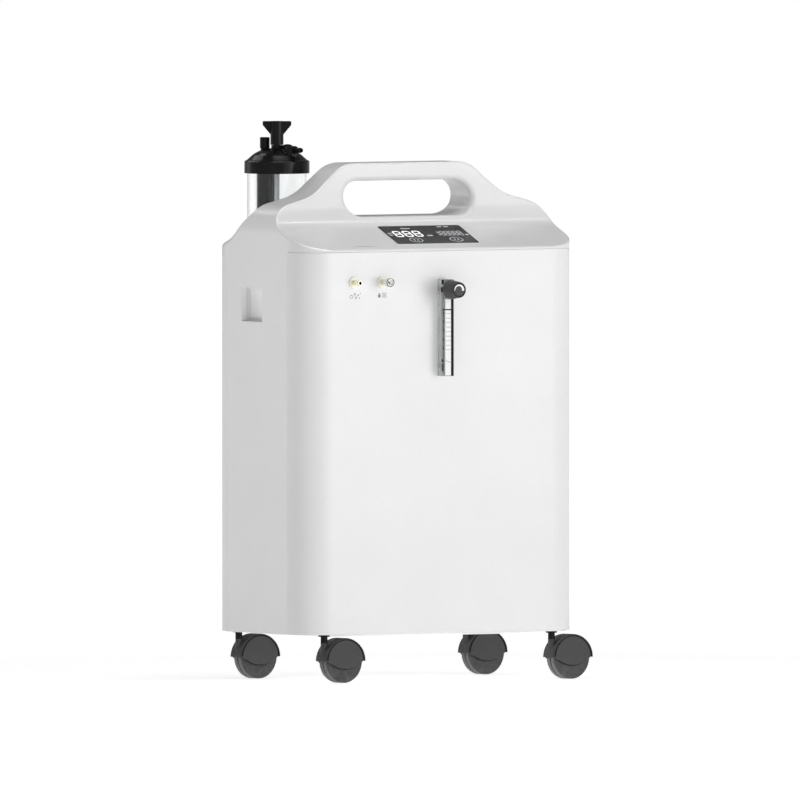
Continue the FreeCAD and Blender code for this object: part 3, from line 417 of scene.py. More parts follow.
WHITE = (0.79, 0.79, 0.795)
mats = {
    "shell": plastic("abs_white_shell", WHITE, rough=0.38, coat=0.35, coat_rough=0.10),
    "panel": plastic("abs_white_panel", (0.80, 0.80, 0.805), rough=0.36, coat=0.15),
    "knob": plastic("knob_black_fine_texture", (0.052, 0.052, 0.053), rough=0.45, grain=2400.0, depth=0.00006, strength=0.6, vary=0.08, spec=0.35, flow=False),
    "black": plastic("black_thermoplastic", (0.018, 0.018, 0.018), rough=0.34, vary=0.08, grain=1800.0, strength=0.3),
    "lid": plastic("lid_black_polypropylene", (0.007, 0.007, 0.007), rough=0.17, vary=0.1, rv=0.05, grain=1100.0, strength=0.12, spec=0.17),
    "tube_black": plastic("baffle_black_gloss", (0.006, 0.006, 0.006), rough=0.16, vary=0.1, rv=0.03, strength=0.08, spec=0.14),
    "caster": plastic("caster_dark_nylon", (0.050, 0.050, 0.050), rough=0.48, vary=0.07, grain=1500.0, strength=0.5, depth=0.00005, dust=0.12, spec=0.35),
    "wheel": plastic("wheel_dark_polyurethane", (0.050, 0.050, 0.050), rough=0.54, vary=0.1, grain=900.0, strength=0.5, depth=0.00006, dust=0.25, spec=0.35),
    "nylon": plastic("white_nylon", (0.85, 0.84, 0.80), rough=0.3, vary=0.02),
    "tank": plastic("canister_white", (0.72, 0.72, 0.70), rough=0.45, vary=0.03, grain=700.0),
    "filter": plastic("filter_housing_pale", (0.66, 0.70, 0.74), rough=0.35, vary=0.03),
    "rubber": plastic("rubber_black_mould", (0.02, 0.02, 0.02), rough=0.72, vary=0.12, grain=1000.0, strength=0.6, depth=0.00006, spec=0.3),
    "brass": metal("turned_brass", (0.80, 0.62, 0.30), rough=0.22, stretch=(1.0, 14.0, 1.0), scale=700.0),
    "plate": metal("nickel_plate", (0.83, 0.83, 0.80), rough=0.14, rv=0.05, stretch=(1.0, 10.0, 1.0)),
    "zinc": metal("zinc_steel", (0.62, 0.63, 0.65), rough=0.36, scale=1200.0),
    "sheet": metal("plated_sheet_steel", (0.60, 0.61, 0.63), rough=0.38, stretch=(1.0, 1.0, 20.0)),
    "cast": metal("cast_alloy", (0.58, 0.59, 0.60), rough=0.5, scale=1500.0, strength=0.5, depth=0.0001),
    "machined": metal("machined_alloy", (0.70, 0.71, 0.72), rough=0.26, stretch=(1.0, 16.0, 1.0)),
    "palebrass": metal("pale_gold_plate", (0.96, 0.93, 0.72), rough=0.16, rv=0.05, stretch=(1.0, 12.0, 1.0), scale=700.0, vary=0.03),
    "flange": plastic("ivory_nylon", (0.86, 0.84, 0.72), rough=0.26, vary=0.02, coat=0.3),
    # painted dark reflection on the nebuliser collar edge
    "chrome_dark": metal("chrome_painted_dark_reflection", (0.075, 0.085, 0.065), rough=0.12, rv=0.04, vary=0.12),
    # painted light: tread lighter grey than the wheel, plus dust near the floor
    "tyre": plastic("tyre_grey_painted_light", (0.115, 0.115, 0.115), rough=0.44, vary=0.14, grain=700.0, strength=0.5, depth=0.00006, dust=0.2),
    # painted highlight: whiter than the shell, for the bright line along the moulding's front edge
    "edge": plastic("white_edge_painted_highlight", (0.95, 0.95, 0.95), rough=0.16, vary=0.01, rv=0.03, strength=0.1, coat=1.0, coat_rough=0.08, flow=False),
    "block_face": plastic("black_satin_face", (0.075, 0.075, 0.075), rough=0.4, vary=0.12, grain=900.0, strength=0.4),
    "liner": plastic("white_joint_liner", (0.86, 0.86, 0.865), rough=0.5, vary=0.02),
    # whiter than the shell; on the finger recess walls this is painted light
    "bright": plastic("white_lighter_than_shell", (0.93, 0.93, 0.93), rough=0.42, vary=0.015),
    "copper": metal("drawn_copper", (0.80, 0.45, 0.30), rough=0.25, vary=0.12),
    "blacksteel": metal("blackened_steel", (0.018, 0.018, 0.019), rough=0.42, scale=1400.0),
}


def streaked():
    """Black baffle tube: glossy, with painted highlights: pale grey streaks drawn along its length stand in for the
    lamps' reflections.
    """
    m = Mat("baffle_black_painted_highlights")
    st = m.noise(150.0, 1.0, 0.4, (1.0, 1.0, 0.02))
    # painted highlights: pale grey bands stretched along the tube
    m.color(m.ramp(st, [(0.42, (0.001, 0.001, 0.001)), (0.50, (0.004, 0.004, 0.004)), (0.57, (0.13, 0.13, 0.13)), (0.63, (0.008, 0.008, 0.008)),
                        (0.74, (0.07, 0.07, 0.07))]))
    m.rough(m.remap(m.noise(90.0, 3.0, 0.5, (1.0, 1.0, 0.1)), 0.3, 0.7, 0.14, 0.28))
    socket(m.b, "Specular IOR Level", 0.12)
    m.bump(m.noise(70.0, 1.0, 0.4, (1.0, 1.0, 0.05)), 0.05, 0.0001)
    return m.m


def stone():
    m = Mat("porous_diffuser")
    v = m.voronoi(900.0)
    m.color(m.ramp(v, [(0.1, (0.25, 0.25, 0.23)), (0.6, (0.62, 0.61, 0.57))]))
    m.rough(m.remap(m.noise(300.0), 0.3, 0.7, 0.8, 0.95))
    m.bump(v, 0.8, 0.0003)
    return m.m


def foam():
    m = Mat("open_cell_foam")
    v = m.voronoi(620.0)
    m.color(m.ramp(v, [(0.15, (0.16, 0.16, 0.17)), (0.55, (0.02, 0.02, 0.022))]))
    m.rough(m.remap(m.noise(200.0), 0.3, 0.7, 0.85, 0.98))
    m.bump(v, 1.0, 0.0008)
    return m.m


def board():
    m = Mat("solder_masked_board")
    v = m.node("ShaderNodeTexBrick")
    v.inputs["Scale"].default_value = 60.0
    v.inputs["Mortar Size"].default_value = 0.012
    v.inputs["Color1"].default_value = (0.01, 0.12, 0.05, 1)
    v.inputs["Color2"].default_value = (0.015, 0.15, 0.06, 1)
    v.inputs["Mortar"].default_value = (0.10, 0.32, 0.14, 1)
    m.link(m.tc.outputs["Object"], v.inputs["Vector"])
    m.color(v.outputs["Color"])
    m.rough(m.remap(m.noise(120.0), 0.3, 0.7, 0.25, 0.4))
    m.bump(v.outputs["Fac"], 0.3, 0.00006)
    return m.m


def smoked():
    """Smoked acrylic over a dark panel: deep grey with soft gloss and faint cloth marks."""
    m = Mat("smoked_acrylic_lens")
    m.color(m.ramp(m.noise(30.0, 3.0), [(0.3, (0.014, 0.0145, 0.015)), (0.7, (0.019, 0.0195, 0.020))]))
    m.rough(m.remap(m.noise(240.0, 5.0, 0.7, (1.0, 4.0, 1.0)), 0.35, 0.75, 0.10, 0.20))
    socket(m.b, "Specular IOR Level", 0.25)
    m.bump(m.noise(14.0, 1.0), 0.1, 0.0003)
    return m.m


def printed(name, col, emit=0.0, rough=0.4, spec=0.5, film=0.0):
    """Screen-printed ink, or a lit segment: slight dot structure and uneven edges of gloss."""
    m = Mat(name)
    m.color(m.ramp(m.noise(900.0, 3.0, 0.7), [(0.25, scaled(col, 0.9)), (0.6, col)]))
    m.rough(m.remap(m.noise(400.0), 0.3, 0.7, rough - 0.06, rough + 0.06))
    if emit:
        socket(m.b, "Emission Color", (col[0], col[1], col[2], 1.0))
        socket(m.b, "Emission Strength", emit)
    socket(m.b, "Specular IOR Level", spec)
    m.bump(m.noise(2500.0), 0.15, 0.00001)
    if film:
        pass_light(m, film)
    return m.m


def acrylic():
    """Flowmeter block: polished clear acrylic, grey in its depth."""
    m = Mat("flowmeter_acrylic")
    m.color(m.ramp(m.noise(24.0, 2.0, 0.5, (1.0, 1.0, 0.1)), [(0.3, (0.42, 0.43, 0.43)), (0.7, (0.52, 0.53, 0.53))]))
    m.rough(m.remap(m.noise(120.0, 4.0, 0.6), 0.35, 0.7, 0.06, 0.14))
    socket(m.b, "Transmission Weight", 0.45)
    socket(m.b, "IOR", 1.49)
    m.bump(m.noise(30.0, 2.0, 0.5, (1.0, 1.0, 0.2)), 0.1, 0.0003)
    pass_light(m, 0.80)
    return m.m


def hose():
    m = Mat("silicone_hose")
    m.color(m.ramp(m.noise(60.0, 3.0), [(0.3, (0.66, 0.67, 0.65)), (0.7, (0.76, 0.77, 0.75))]))
    m.rough(m.remap(m.noise(300.0), 0.3, 0.7, 0.4, 0.55))
    socket(m.b, "Subsurface Weight", 0.1)
    m.bump(m.noise(900.0), 0.2, 0.00004)
    return m.m


mats.update(streaked=streaked(), stone=stone(), foam=foam(), board=board(), smoked=smoked(), acrylic=acrylic(), hose=hose(),
            jar=clear("clear_polycarbonate", (0.97, 0.98, 0.98), rough=0.02, ior=1.40, spec=0.10),
            lit=printed("lit_white_segment", (0.93, 0.94, 0.95), emit=0.55),
            dim=printed("dim_grey_segment", (0.55, 0.56, 0.57), emit=0.18),
            ink=printed("grey_ink", (0.22, 0.22, 0.225)),
            ink_soft=printed("pale_grey_ink", (0.56, 0.56, 0.56)),
            ink_black=printed("black_ink", (0.006, 0.006, 0.006), rough=0.3, spec=0.1),
            film_black=printed("black_edge_film", (0.006, 0.006, 0.006), rough=0.3, spec=0.1, film=0.6),
            film_white=printed("white_scale_film", (0.88, 0.88, 0.88), rough=0.42, film=0.75),
            ink_white=printed("white_ink", (0.88, 0.88, 0.88), rough=0.42),
            # painted shade: flat grey lens where the ledge's finger notch is shaded
            notch=plastic("notch_painted_shade_grey", (0.50, 0.50, 0.505), rough=0.5, vary=0.05))

CAD = {
    "shell": ["outer_shell", "bottle_cradle"],
    "panel": ["front_panel", "rear_panel", "base_plate", "filter_door"],
    "smoked": ["display_window"],
    "board": ["display_board", "main_board"],
    "acrylic": ["flowmeter_body"],
    "ink_black": ["flowmeter_float"],
    "knob": ["flow_knob"],
    "brass": ["flow_needle"],
    "palebrass": ["oxygen_outlet"],
    "plate": ["nebuliser_outlet"],
    "flange": ["outlet_flanges"],
    "jar": ["humidifier_jar"],
    "lid": ["humidifier_lid", "humidifier_wing_nut", "humidifier_relief_valve"],
    "streaked": ["humidifier_baffle_tube"],
    "filter": ["humidifier_dip_tube", "intake_filter", "bacteria_filter"],
    "stone": ["humidifier_diffuser"],
    "black": ["power_inlet", "power_switch_bezel", "power_rocker", "breaker_body", "breaker_button", "fan_frame", "fan_rotor",
              "pressure_regulator"],
    "foam": ["filter_foam", "exhaust_muffler"],
    "cast": ["compressor_motor", "compressor_heads", "start_capacitor"],
    "rubber": ["compressor_mounts"],
    "sheet": ["inner_frame"],
    "tank": ["sieve_tanks", "oxygen_tank"],
    "machined": ["valve_block", "valve_solenoids"],
    "copper": ["cooling_coil"],
    "hose": ["inner_hoses"],
    "zinc": ["case_screws", "door_hinge_pins"],
    "caster": ["caster_%s_hood" % t for t in ("fl", "fr", "rl", "rr")],
    "wheel": ["caster_%s_wheel" % t for t in ("fl", "fr", "rl", "rr")],
    "blacksteel": ["caster_%s_stem" % t for t in ("fl", "fr", "rl", "rr")],
}
for key, names in CAD.items():
    for n in names:
        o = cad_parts[n]
        if not o.material_slots:
            o.data.materials.append(mats[key])
        for s in o.material_slots:
            s.material = mats[key]


def finish_piece(o, mat, body, slot, *nodes):
    o.data.materials.append(mats[mat])
    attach(o, body)
    if nodes:
        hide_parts(*nodes)
    return o


# ------------------------------------------------------------------ display: lit digits, bars and touch marks
LEDGE_Z = 498.2
SLOPE = math.atan2(526.6 - LEDGE_Z, 109.0 - 36.3)
WIN_X, WIN_TOP = 2.0, 0.4
FRONT_R, EDGE_W = 38.0, 1.7


def on_ledge(x, s, h):
    return P(WIN_X + x, -HD + s * math.cos(SLOPE) - h * math.sin(SLOPE), LEDGE_Z + s * math.sin(SLOPE) + h * math.cos(SLOPE))


SEG = {0: "abcdef", 1: "bc", 2: "abged", 3: "abgcd", 4: "fgbc", 5: "afgcd", 6: "afgecd", 7: "abc", 8: "abcdefg", 9: "abfgcd"}


def digit(bag, x, s, w, h, t, d, slant=0.0):
    """One seven-segment figure, lower left corner at x, s."""
    def bar(ax, ay, bx, by):
        L = math.hypot(bx - ax, by - ay)
        ux, uy = (bx - ax) / L, (by - ay) / L
        g = t * 0.08
        pts = [(g, 0), (t / 2, -t / 2), (L - t / 2, -t / 2), (L - g, 0), (L - t / 2, t / 2), (t / 2, t / 2)]
        out = []
        for a, b in pts:
            px, py = ax + ux * a - uy * b, ay + uy * a + ux * b
            out.append((px + slant * (py - s), py))
        bag.prism(out, on_ledge, WIN_TOP + 0.02, WIN_TOP + 0.10)
    x0, x1 = x + t / 2, x + w - t / 2
    y0, y1, ym = s + t / 2, s + h - t / 2, s + h / 2
    seg = {"a": (x0, y1, x1, y1), "b": (x1, ym, x1, y1), "c": (x1, y0, x1, ym), "d": (x0, y0, x1, y0),
           "e": (x0, y0, x0, ym), "f": (x0, ym, x0, y1), "g": (x0, ym, x1, ym)}
    for k in SEG[d]:
        bar(*seg[k])


big = Bag()
for i in range(3):
    digit(big, -44.4 + i * 13.0, 34.2, 10.6, 17.0, 2.2, 8)
finish_piece(big.make("display_digits_large"), "lit", "cabinet", "display_glass")

small = Bag()
for i, (x, d) in enumerate(((10.4, 1), (17.4, 8), (23.4, 8), (29.4, 8), (35.4, 8), (41.4, 8))):
    digit(small, x, 36.0, 5.0, 13.0, 1.15, d)
small.prism(ellipse(16.2, 39.6, 0.7, 0.9, 12), on_ledge, WIN_TOP + 0.02, WIN_TOP + 0.10)
small.prism(ellipse(16.2, 45.2, 0.7, 0.9, 12), on_ledge, WIN_TOP + 0.02, WIN_TOP + 0.10)
finish_piece(small.make("display_digits_small"), "dim", "cabinet", "display_glass")

marks = Bag()
H0, H1 = WIN_TOP + 0.02, WIN_TOP + 0.09
# small bars that label the figures, with no lettering
for x0, s0, x1, s1 in ((-51.6, 43.6, -46.8, 46.4), (-51.6, 38.6, -46.8, 41.2), (-27.4, 57.2, -14.6, 59.4), (-3.2, 35.4, 4.4, 38.6),
                       (48.0, 36.4, 52.6, 39.4), (23.0, 60.6, 29.0, 62.8), (31.6, 60.6, 38.0, 62.8)):
    marks.prism(round_rect(x0, s0, x1, s1, 0.9, 4), on_ledge, H0, H1)
finish_piece(marks.make("display_label_bars"), "dim", "cabinet", "display_glass")

keys = Bag()
for cx in (-24.4, 29.2):
    keys.ringprism(ellipse(cx, 24.8, 8.8, 6.4, 48), ellipse(cx, 24.8, 7.7, 5.3, 48), on_ledge, H0, H1)
    # an arrow either side: raise and lower
    for sgn in (-1, 1):
        keys.prism([(cx + sgn * 2.2 - 1.7, 24.8 - 1.5 * sgn), (cx + sgn * 2.2 + 1.7, 24.8 - 1.5 * sgn), (cx + sgn * 2.2, 24.8 + 2.4 * sgn)][::1 if sgn > 0 else -1],
                   on_ledge, H0, H1)
finish_piece(keys.make("display_touch_keys"), "dim", "cabinet", "display_glass")

# thin bright border of the window's bezel
rim = Bag()
W2 = 54.5
s0, s1 = 13.96, 65.96
rim.ringprism(round_rect(-W2 - 0.55, s0 - 0.55, W2 + 0.55, s1 + 0.55, 3.2, 8), round_rect(-W2 + 0.0, s0 + 0.0, W2 - 0.0, s1 - 0.0, 2.7, 8),
              on_ledge, -0.25, 0.32)
rim_o = bevel(rim.make("display_bezel_lip"), 0.00012, 2)
finish_piece(rim_o, "shell", "cabinet", "shell_white")

# ------------------------------------------------------------------ painted highlight: a whiter, glossier strip on the rounded front edge of the top moulding
def rounded(pts, rads, n=14):
    """Polyline with its corners replaced by arcs; gives its points."""
    out = []
    for i, (x, y) in enumerate(pts):
        if i in (0, len(pts) - 1) or rads[i] <= 0:
            out.append((x, y))
            continue
        ax, ay = pts[i - 1]
        bx, by = pts[i + 1]
        da, db = math.hypot(ax - x, ay - y), math.hypot(bx - x, by - y)
        ua, ub = ((ax - x) / da, (ay - y) / da), ((bx - x) / db, (by - y) / db)
        dot = max(-1.0, min(1.0, ua[0] * ub[0] + ua[1] * ub[1]))
        half = math.acos(dot) / 2
        t = rads[i] / math.tan(half)
        mx_, my_ = ua[0] + ub[0], ua[1] + ub[1]
        ml = math.hypot(mx_, my_)
        c = (x + mx_ / ml * rads[i] / math.sin(half), y + my_ / ml * rads[i] / math.sin(half))
        p0 = (x + ua[0] * t, y + ua[1] * t)
        p1 = (x + ub[0] * t, y + ub[1] * t)
        a0 = math.atan2(p0[1] - c[1], p0[0] - c[0])
        a1 = math.atan2(p1[1] - c[1], p1[0] - c[0])
        d = (a1 - a0 + math.pi) % (2 * math.pi) - math.pi
        for k in range(n + 1):
            a = a0 + d * k / n
            out.append((c[0] + rads[i] * math.cos(a), c[1] + rads[i] * math.sin(a)))
    return out


def dense(pts, step):
    out = []
    for (ax, ay), (bx, by) in zip(pts, pts[1:]):
        m = max(1, int(math.hypot(bx - ax, by - ay) / step))
        out += [(ax + (bx - ax) * k / m, ay + (by - ay) * k / m) for k in range(m)]
    return out + [pts[-1]]


side_front = dense(rounded([(-HD, 498.2), (-36.3, 526.6), (-25.5, 577.0), (-25.5, 595.2)], [0, 34.0, 45.0, 0]), 1.0)


def front_at(z):
    """Depth of the front face, and its outward normal, at height z."""
    for (y0, z0), (y1, z1) in zip(side_front, side_front[1:]):
        if z0 <= z <= z1 and z1 > z0:
            L = math.hypot(y1 - y0, z1 - z0)
            return y0 + (y1 - y0) * (z - z0) / (z1 - z0), Vector((0, -(z1 - z0) / L, (y1 - y0) / L))
    y0, z0 = side_front[-1]
    return y0, Vector((0, -1, 0))


top_line = dense(rounded([(-HW, 514.0), (-HW, 542.7), (-126.7, 558.2), (-83.4, 595.0), (83.4, 595.0), (126.7, 558.2), (HW, 542.7), (HW, 514.0)],
                         [0, 34.0, 60.0, 37.0, 37.0, 60.0, 34.0, 0]), 1.5)
stations = []
ledge_n = Vector((0, -math.sin(SLOPE), math.cos(SLOPE)))
for i in range(27):
    a = math.radians(268.0 - 86.0 * i / 26)
    x, y = -HW + FRONT_R + FRONT_R * math.cos(a), -HD + FRONT_R + FRONT_R * math.sin(a)
    stations.append((Vector((x, y, 498.2 + (y + HD) * math.tan(SLOPE))), ledge_n, Vector((math.cos(a), math.sin(a), 0))))
for i, (x, z) in enumerate(top_line):
    ax, az = top_line[max(i - 1, 0)]
    bx, bz = top_line[min(i + 1, len(top_line) - 1)]
    L = math.hypot(bx - ax, bz - az)
    y, nf = front_at(z)
    stations.append((Vector((x, y, z)), nf, Vector((-(bz - az) / L, 0, (bx - ax) / L))))
for i in range(27):
    a = math.radians(-2.0 - 86.0 * i / 26)
    x, y = HW - FRONT_R + FRONT_R * math.cos(a), -HD + FRONT_R + FRONT_R * math.sin(a)
    stations.append((Vector((x, y, 498.2 + (y + HD) * math.tan(SLOPE))), ledge_n, Vector((math.cos(a), math.sin(a), 0))))

shell_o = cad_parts["outer_shell"]
bm = bmesh.new()
bm.from_mesh(shell_o.data)
bm.transform(shell_o.matrix_world)
shell_tree = BVHTree.FromBMesh(bm)
bm.free()
ER, NW = 2.8, 5
vs, fs = [], []
for p, n1, n2 in stations:
    mid = (n1 + n2).normalized()
    c = p - (n1 + n2) * (ER / (1.0 + n1.dot(n2)))
    t = (n2 - n1).normalized()
    row = []
    for k in range(NW):
        th = (k / (NW - 1.0) - 0.5) * (EDGE_W / ER)
        q = c + (mid * math.cos(th) + t * math.sin(th)) * ER
        loc, nrm, idx, dist = shell_tree.find_nearest(P(q.x, q.y, q.z))
        row.append((loc, nrm if nrm.dot(mid) > 0 else -nrm))
    vs += [l + m * 0.00005 for l, m in row] + [l - m * 0.00005 for l, m in row[::-1]]
M2 = 2 * NW
fs.append(tuple(range(M2 - 1, -1, -1)))
for i in range(len(stations) - 1):
    for k in range(M2):
        l = (k + 1) % M2
        fs.append((i * M2 + k, i * M2 + l, (i + 1) * M2 + l, (i + 1) * M2 + k))
fs.append(tuple((len(stations) - 1) * M2 + k for k in range(M2)))
finish_piece(mesh("moulding_edge_painted_highlight", vs, fs, 50.0), "edge", "cabinet", "shell_white")

# ------------------------------------------------------------------ finger notch in the ledge: painted shade, a flat grey lens shape
notch = Bag()
pts = []
NX0, NX1 = -118.0, -82.0


def flat_ledge(x, s, h):
    return P(x, -HD + s * math.cos(SLOPE) - h * math.sin(SLOPE), LEDGE_Z + s * math.sin(SLOPE) + h * math.cos(SLOPE))


for i in range(25):
    t = i / 24.0
    pts.append((NX0 + (NX1 - NX0) * t, 8.2 + 0.1 * math.sin(math.pi * t)))
for i in range(1, 24):
    t = 1 - i / 24.0
    pts.append((NX0 + (NX1 - NX0) * t, 8.2 + 2.3 * math.sin(math.pi * t) ** 0.8))
notch.prism(pts, flat_ledge, -0.15, 0.06)
finish_piece(notch.make("ledge_notch_painted_shade"), "notch", "cabinet", "shell_white")

# ------------------------------------------------------------------ outlet marks: plain symbols
FACE = -HD


def on_front(x, z, h):
    return P(x, FACE - h, z)


sym = Bag()
for cx, cz, r in ((-122.6, 444.3, 2.1), (-118.0, 447.2, 1.35), (-116.6, 443.3, 1.5), (-113.4, 446.0, 1.0), (-111.9, 442.8, 0.7),
                  (-110.6, 448.1, 0.6)):
    if r > 0.9:
        sym.ringprism(ellipse(cx, cz, r, r, 28), ellipse(cx, cz, r - 0.62, r - 0.62, 28), on_front, 0.02, 0.07)
    else:
        sym.prism(ellipse(cx, cz, r, r, 16), on_front, 0.02, 0.07)
# a drop and three wavy lines of mist
drop = []
for i in range(25):
    a = math.radians(-225 + 270.0 * i / 24)
    drop.append((-85.4 + 1.9 * math.cos(a), 444.6 + 1.9 * math.sin(a)))
drop.append((-85.4, 448.8))
sym.prism(drop, on_front, 0.02, 0.07)
for k in range(3):
    line = [(-81.6 + 6.0 * t / 16.0, 443.4 + 2.0 * k + 0.5 * math.sin(t / 16.0 * 2 * math.pi * 1.5)) for t in range(17)]
    sym.prism(band(line, 0.65), on_front, 0.02, 0.07)
finish_piece(sym.make("outlet_symbols"), "ink", "cabinet", "panel_white")

# ------------------------------------------------------------------ flowmeter: white scale panel, ticks, edge strip, side marks
FMX, FMW, FMD = -1.5, 12.0, 16.1
FMY = -HD - FMD
FMZ0, FMZ1 = 351.6, 463.0


def on_fm(x, z, h):
    return P(FMX + x, FMY - h, z)


panel = Bag()
panel.prism(round_rect(-5.2, FMZ0 + 0.9, 2.3, 440.6, 0.25, 3), on_fm, 0.0, 0.12)
finish_piece(panel.make("flowmeter_scale_panel"), "film_white", "cabinet", "panel_white")
strip = Bag()
strip.prism(round_rect(2.34, FMZ0 + 0.3, 5.95, 441.5, 0.2, 3), on_fm, 0.0, 0.14)
strip.prism([(FMW / 2 - 0.02, 0.2), (FMW / 2 + 0.08, 0.2), (FMW / 2 + 0.08, 4.4), (FMW / 2 - 0.02, 4.4)],
            lambda x, y, h: P(FMX + x, FMY + y, h), FMZ0 + 0.5, FMZ1 - 0.6)
finish_piece(strip.make("flowmeter_edge_strip"), "film_black", "cabinet", "button_black")
ticks = Bag()
ticks.prism(round_rect(-5.9, 427.5, 2.6, 428.9, 0.2, 2), on_fm, 0.10, 0.2)
ticks.prism([(-FMW / 2 - 0.08, 427.3), (-FMW / 2 + 0.02, 427.3), (-FMW / 2 + 0.02, 429.1), (-FMW / 2 - 0.08, 429.1)],
            lambda x, z, h: P(FMX + x, FMY + h, z), 0.4, 4.6)
finish_piece(ticks.make("flowmeter_top_mark"), "ink_black", "cabinet", "button_black")
soft = Bag()
for i in range(9):
    z = 423.6 - 5.2 * i
    soft.prism(round_rect(-4.4 if i % 2 else -5.0, z - 0.42, 2.3, z + 0.42, 0.15, 2), on_fm, 0.10, 0.18)
soft.prism([(-5.0, 368.9), (2.4, 366.6), (2.4, 367.8), (-5.0, 370.1)], on_fm, 0.10, 0.18)
finish_piece(soft.make("flowmeter_scale_ticks"), "ink_soft", "cabinet", "panel_white")
side = Bag()


def on_fm_side(y, z, h):
    return P(FMX - FMW / 2 - h, FMY + y, z)


def side_rect(y0, z0, y1, z1):
    side.prism([(y1, z0), (y0, z0), (y0, z1), (y1, z1)], on_fm_side, 0.01, 0.07)


side_rect(2.4, 354.6, 3.4, 427.4)
for z in (424.2, 414.7, 404.7, 393.5, 383.6):
    side_rect(1.7, z - 1.3, 3.9, z + 1.3)
side_rect(2.8, 357.0, 5.6, 366.0)
side_rect(3.4, 368.0, 6.6, 371.0)
side_rect(1.4, 457.2, 7.0, 462.4)
side_rect(3.6, 448.0, 8.2, 453.9)
side.prism([(6.8, 446.9), (8.2, 448.0), (2.6, 440.2), (1.2, 440.2)][::-1], on_fm_side, 0.01, 0.07)
finish_piece(side.make("flowmeter_side_marks"), "ink_black", "cabinet", "button_black")

# ------------------------------------------------------------------ knob: dark rim and white sweep mark
KZ, KY = 451.3, -148.0


def on_knob(x, z, h):
    return P(FMX + x, KY - h, KZ + z)


sweep = Bag()
outer, inner = [], []
for i in range(41):
    t = i / 40.0
    a = math.radians(186 - 196 * t)
    w = 0.8 + 2.2 * t
    r = 6.45
    outer.append((r * math.cos(a), r * math.sin(a)))
    inner.append(((r - w) * math.cos(a), (r - w) * math.sin(a)))
sweep.prism((outer + inner[::-1])[::-1], on_knob, -0.02, 0.08)
finish_piece(sweep.make("knob_sweep_mark"), "ink_white", "knob", "panel_white")
ring = lathe("knob_face_rim", [(6.75, -0.3), (8.1, -0.3), (8.45, -0.2), (8.25, 0.10), (7.4, 0.16), (6.8, 0.08)], P(FMX, KY, KZ), (0, -1, 0), 96)
finish_piece(ring, "tube_black", "knob", "knob_black")

# ------------------------------------------------------------------ outlets: black bore lip of painted shade and dark collar edge of painted reflection
ox_y = FACE - 14.5
# painted shade: a black ring on the tip over the bore's mouth
lip = lathe("oxygen_bore_painted_shade", [(1.35, -0.6), (2.05, -0.6), (2.05, 0.06), (1.35, 0.06)], P(-119.2, ox_y, 460.3), (0, -1, 0), 48)
finish_piece(lip, "ink_black", "cabinet", "button_black")
neb_y = FACE - 19.5
# painted reflection: a dark chrome ring on the collar edge
edge = lathe("nebuliser_collar_painted_reflection", [(3.75, -0.8), (4.98, -0.8), (4.98, 0.02), (4.7, 0.10), (3.75, 0.10)], P(-81.6, neb_y, 460.5), (0, -1, 0), 64)
finish_piece(edge, "chrome_dark", "cabinet", "plated_brass")
seat = lathe("nebuliser_seat_insert", [(1.5, -3.4), (3.58, -1.5), (3.58, -3.6), (1.5, -5.2)], P(-81.6, neb_y, 460.5), (0, -1, 0), 64)
finish_piece(seat, "bright", "cabinet", "white_nylon")

# ------------------------------------------------------------------ joints of the mouldings: pale liner just under the surface
JG = 0.4
SEAM = 496.2
REAR_SEAM = 486.0
FR, RR = 38.0, 42.0


def plan_line(t, front):
    """Half of the cabinet's outline, inset by t: round the front corners or round the rear ones."""
    r = (FR if front else RR) - t
    x, y = HW - t, (HD - t) * (-1 if front else 1)
    s_ = -1 if front else 1
    yj = -71.0 - JG if front else 66.5 + JG
    pts = [(-x, yj)]
    for i in range(25):
        a = math.pi + (math.pi / 2) * i / 24 * (1 if front else -1)
        pts.append((-x + r + r * math.cos(a), y - s_ * r + r * math.sin(a)))
    for i in range(25):
        a = (-math.pi / 2 if front else math.pi / 2) + (math.pi / 2) * i / 24 * (1 if front else -1)
        pts.append((x - r + r * math.cos(a), y - s_ * r + r * math.sin(a)))
    pts.append((x, yj))
    return pts


def in_plan(x, y, z):
    return P(x, y, z)


joint = Bag()
joint.strip(plan_line(0.25, True), plan_line(1.6, True), in_plan, SEAM - JG + 0.03, SEAM - 0.03)
for sx in (-1, 1):
    for yj in (-71.0, 66.5):
        x0, x1 = sx * (HW - 0.25), sx * (HW - 1.6)
        top = (SEAM if yj < 0 else REAR_SEAM) - JG
        joint.prism([(x0, yj - JG / 2 + 0.03), (x1, yj - JG / 2 + 0.03), (x1, yj + JG / 2 - 0.03), (x0, yj + JG / 2 - 0.03)][::-sx], in_plan, 58.0, top)
finish_piece(joint.make("moulding_joint_liner"), "liner", "cabinet", "shell_white")


def rear_line(t, a0, a1, cx, first=None, last=None):
    r = RR - t
    pts = [first] if first else []
    for i in range(17):
        a = math.radians(a0 + (a1 - a0) * i / 16)
        pts.append((cx + r * math.cos(a), HD - t - r + r * math.sin(a)))
    return pts + ([last] if last else [])


rear_joint = Bag()
for a0, a1, cx, ends in ((180.0, 119.0, -HW + RR, "l"), (90.0, 0.0, HW - RR, "r")):
    lines = []
    for t in (0.25, 1.6):
        if ends == "l":
            lines.append(rear_line(t, a0, a1, cx, (-HW + t, 66.5 + JG), None))
        else:
            lines.append(rear_line(t, a0, a1, cx, (-73.6, HD - t), (HW - t, 66.5 + JG)))
    rear_joint.strip(lines[1], lines[0], in_plan, REAR_SEAM - JG + 0.03, REAR_SEAM - 0.03)
finish_piece(rear_joint.make("rear_joint_liner"), "liner", "cabinet", "shell_white")
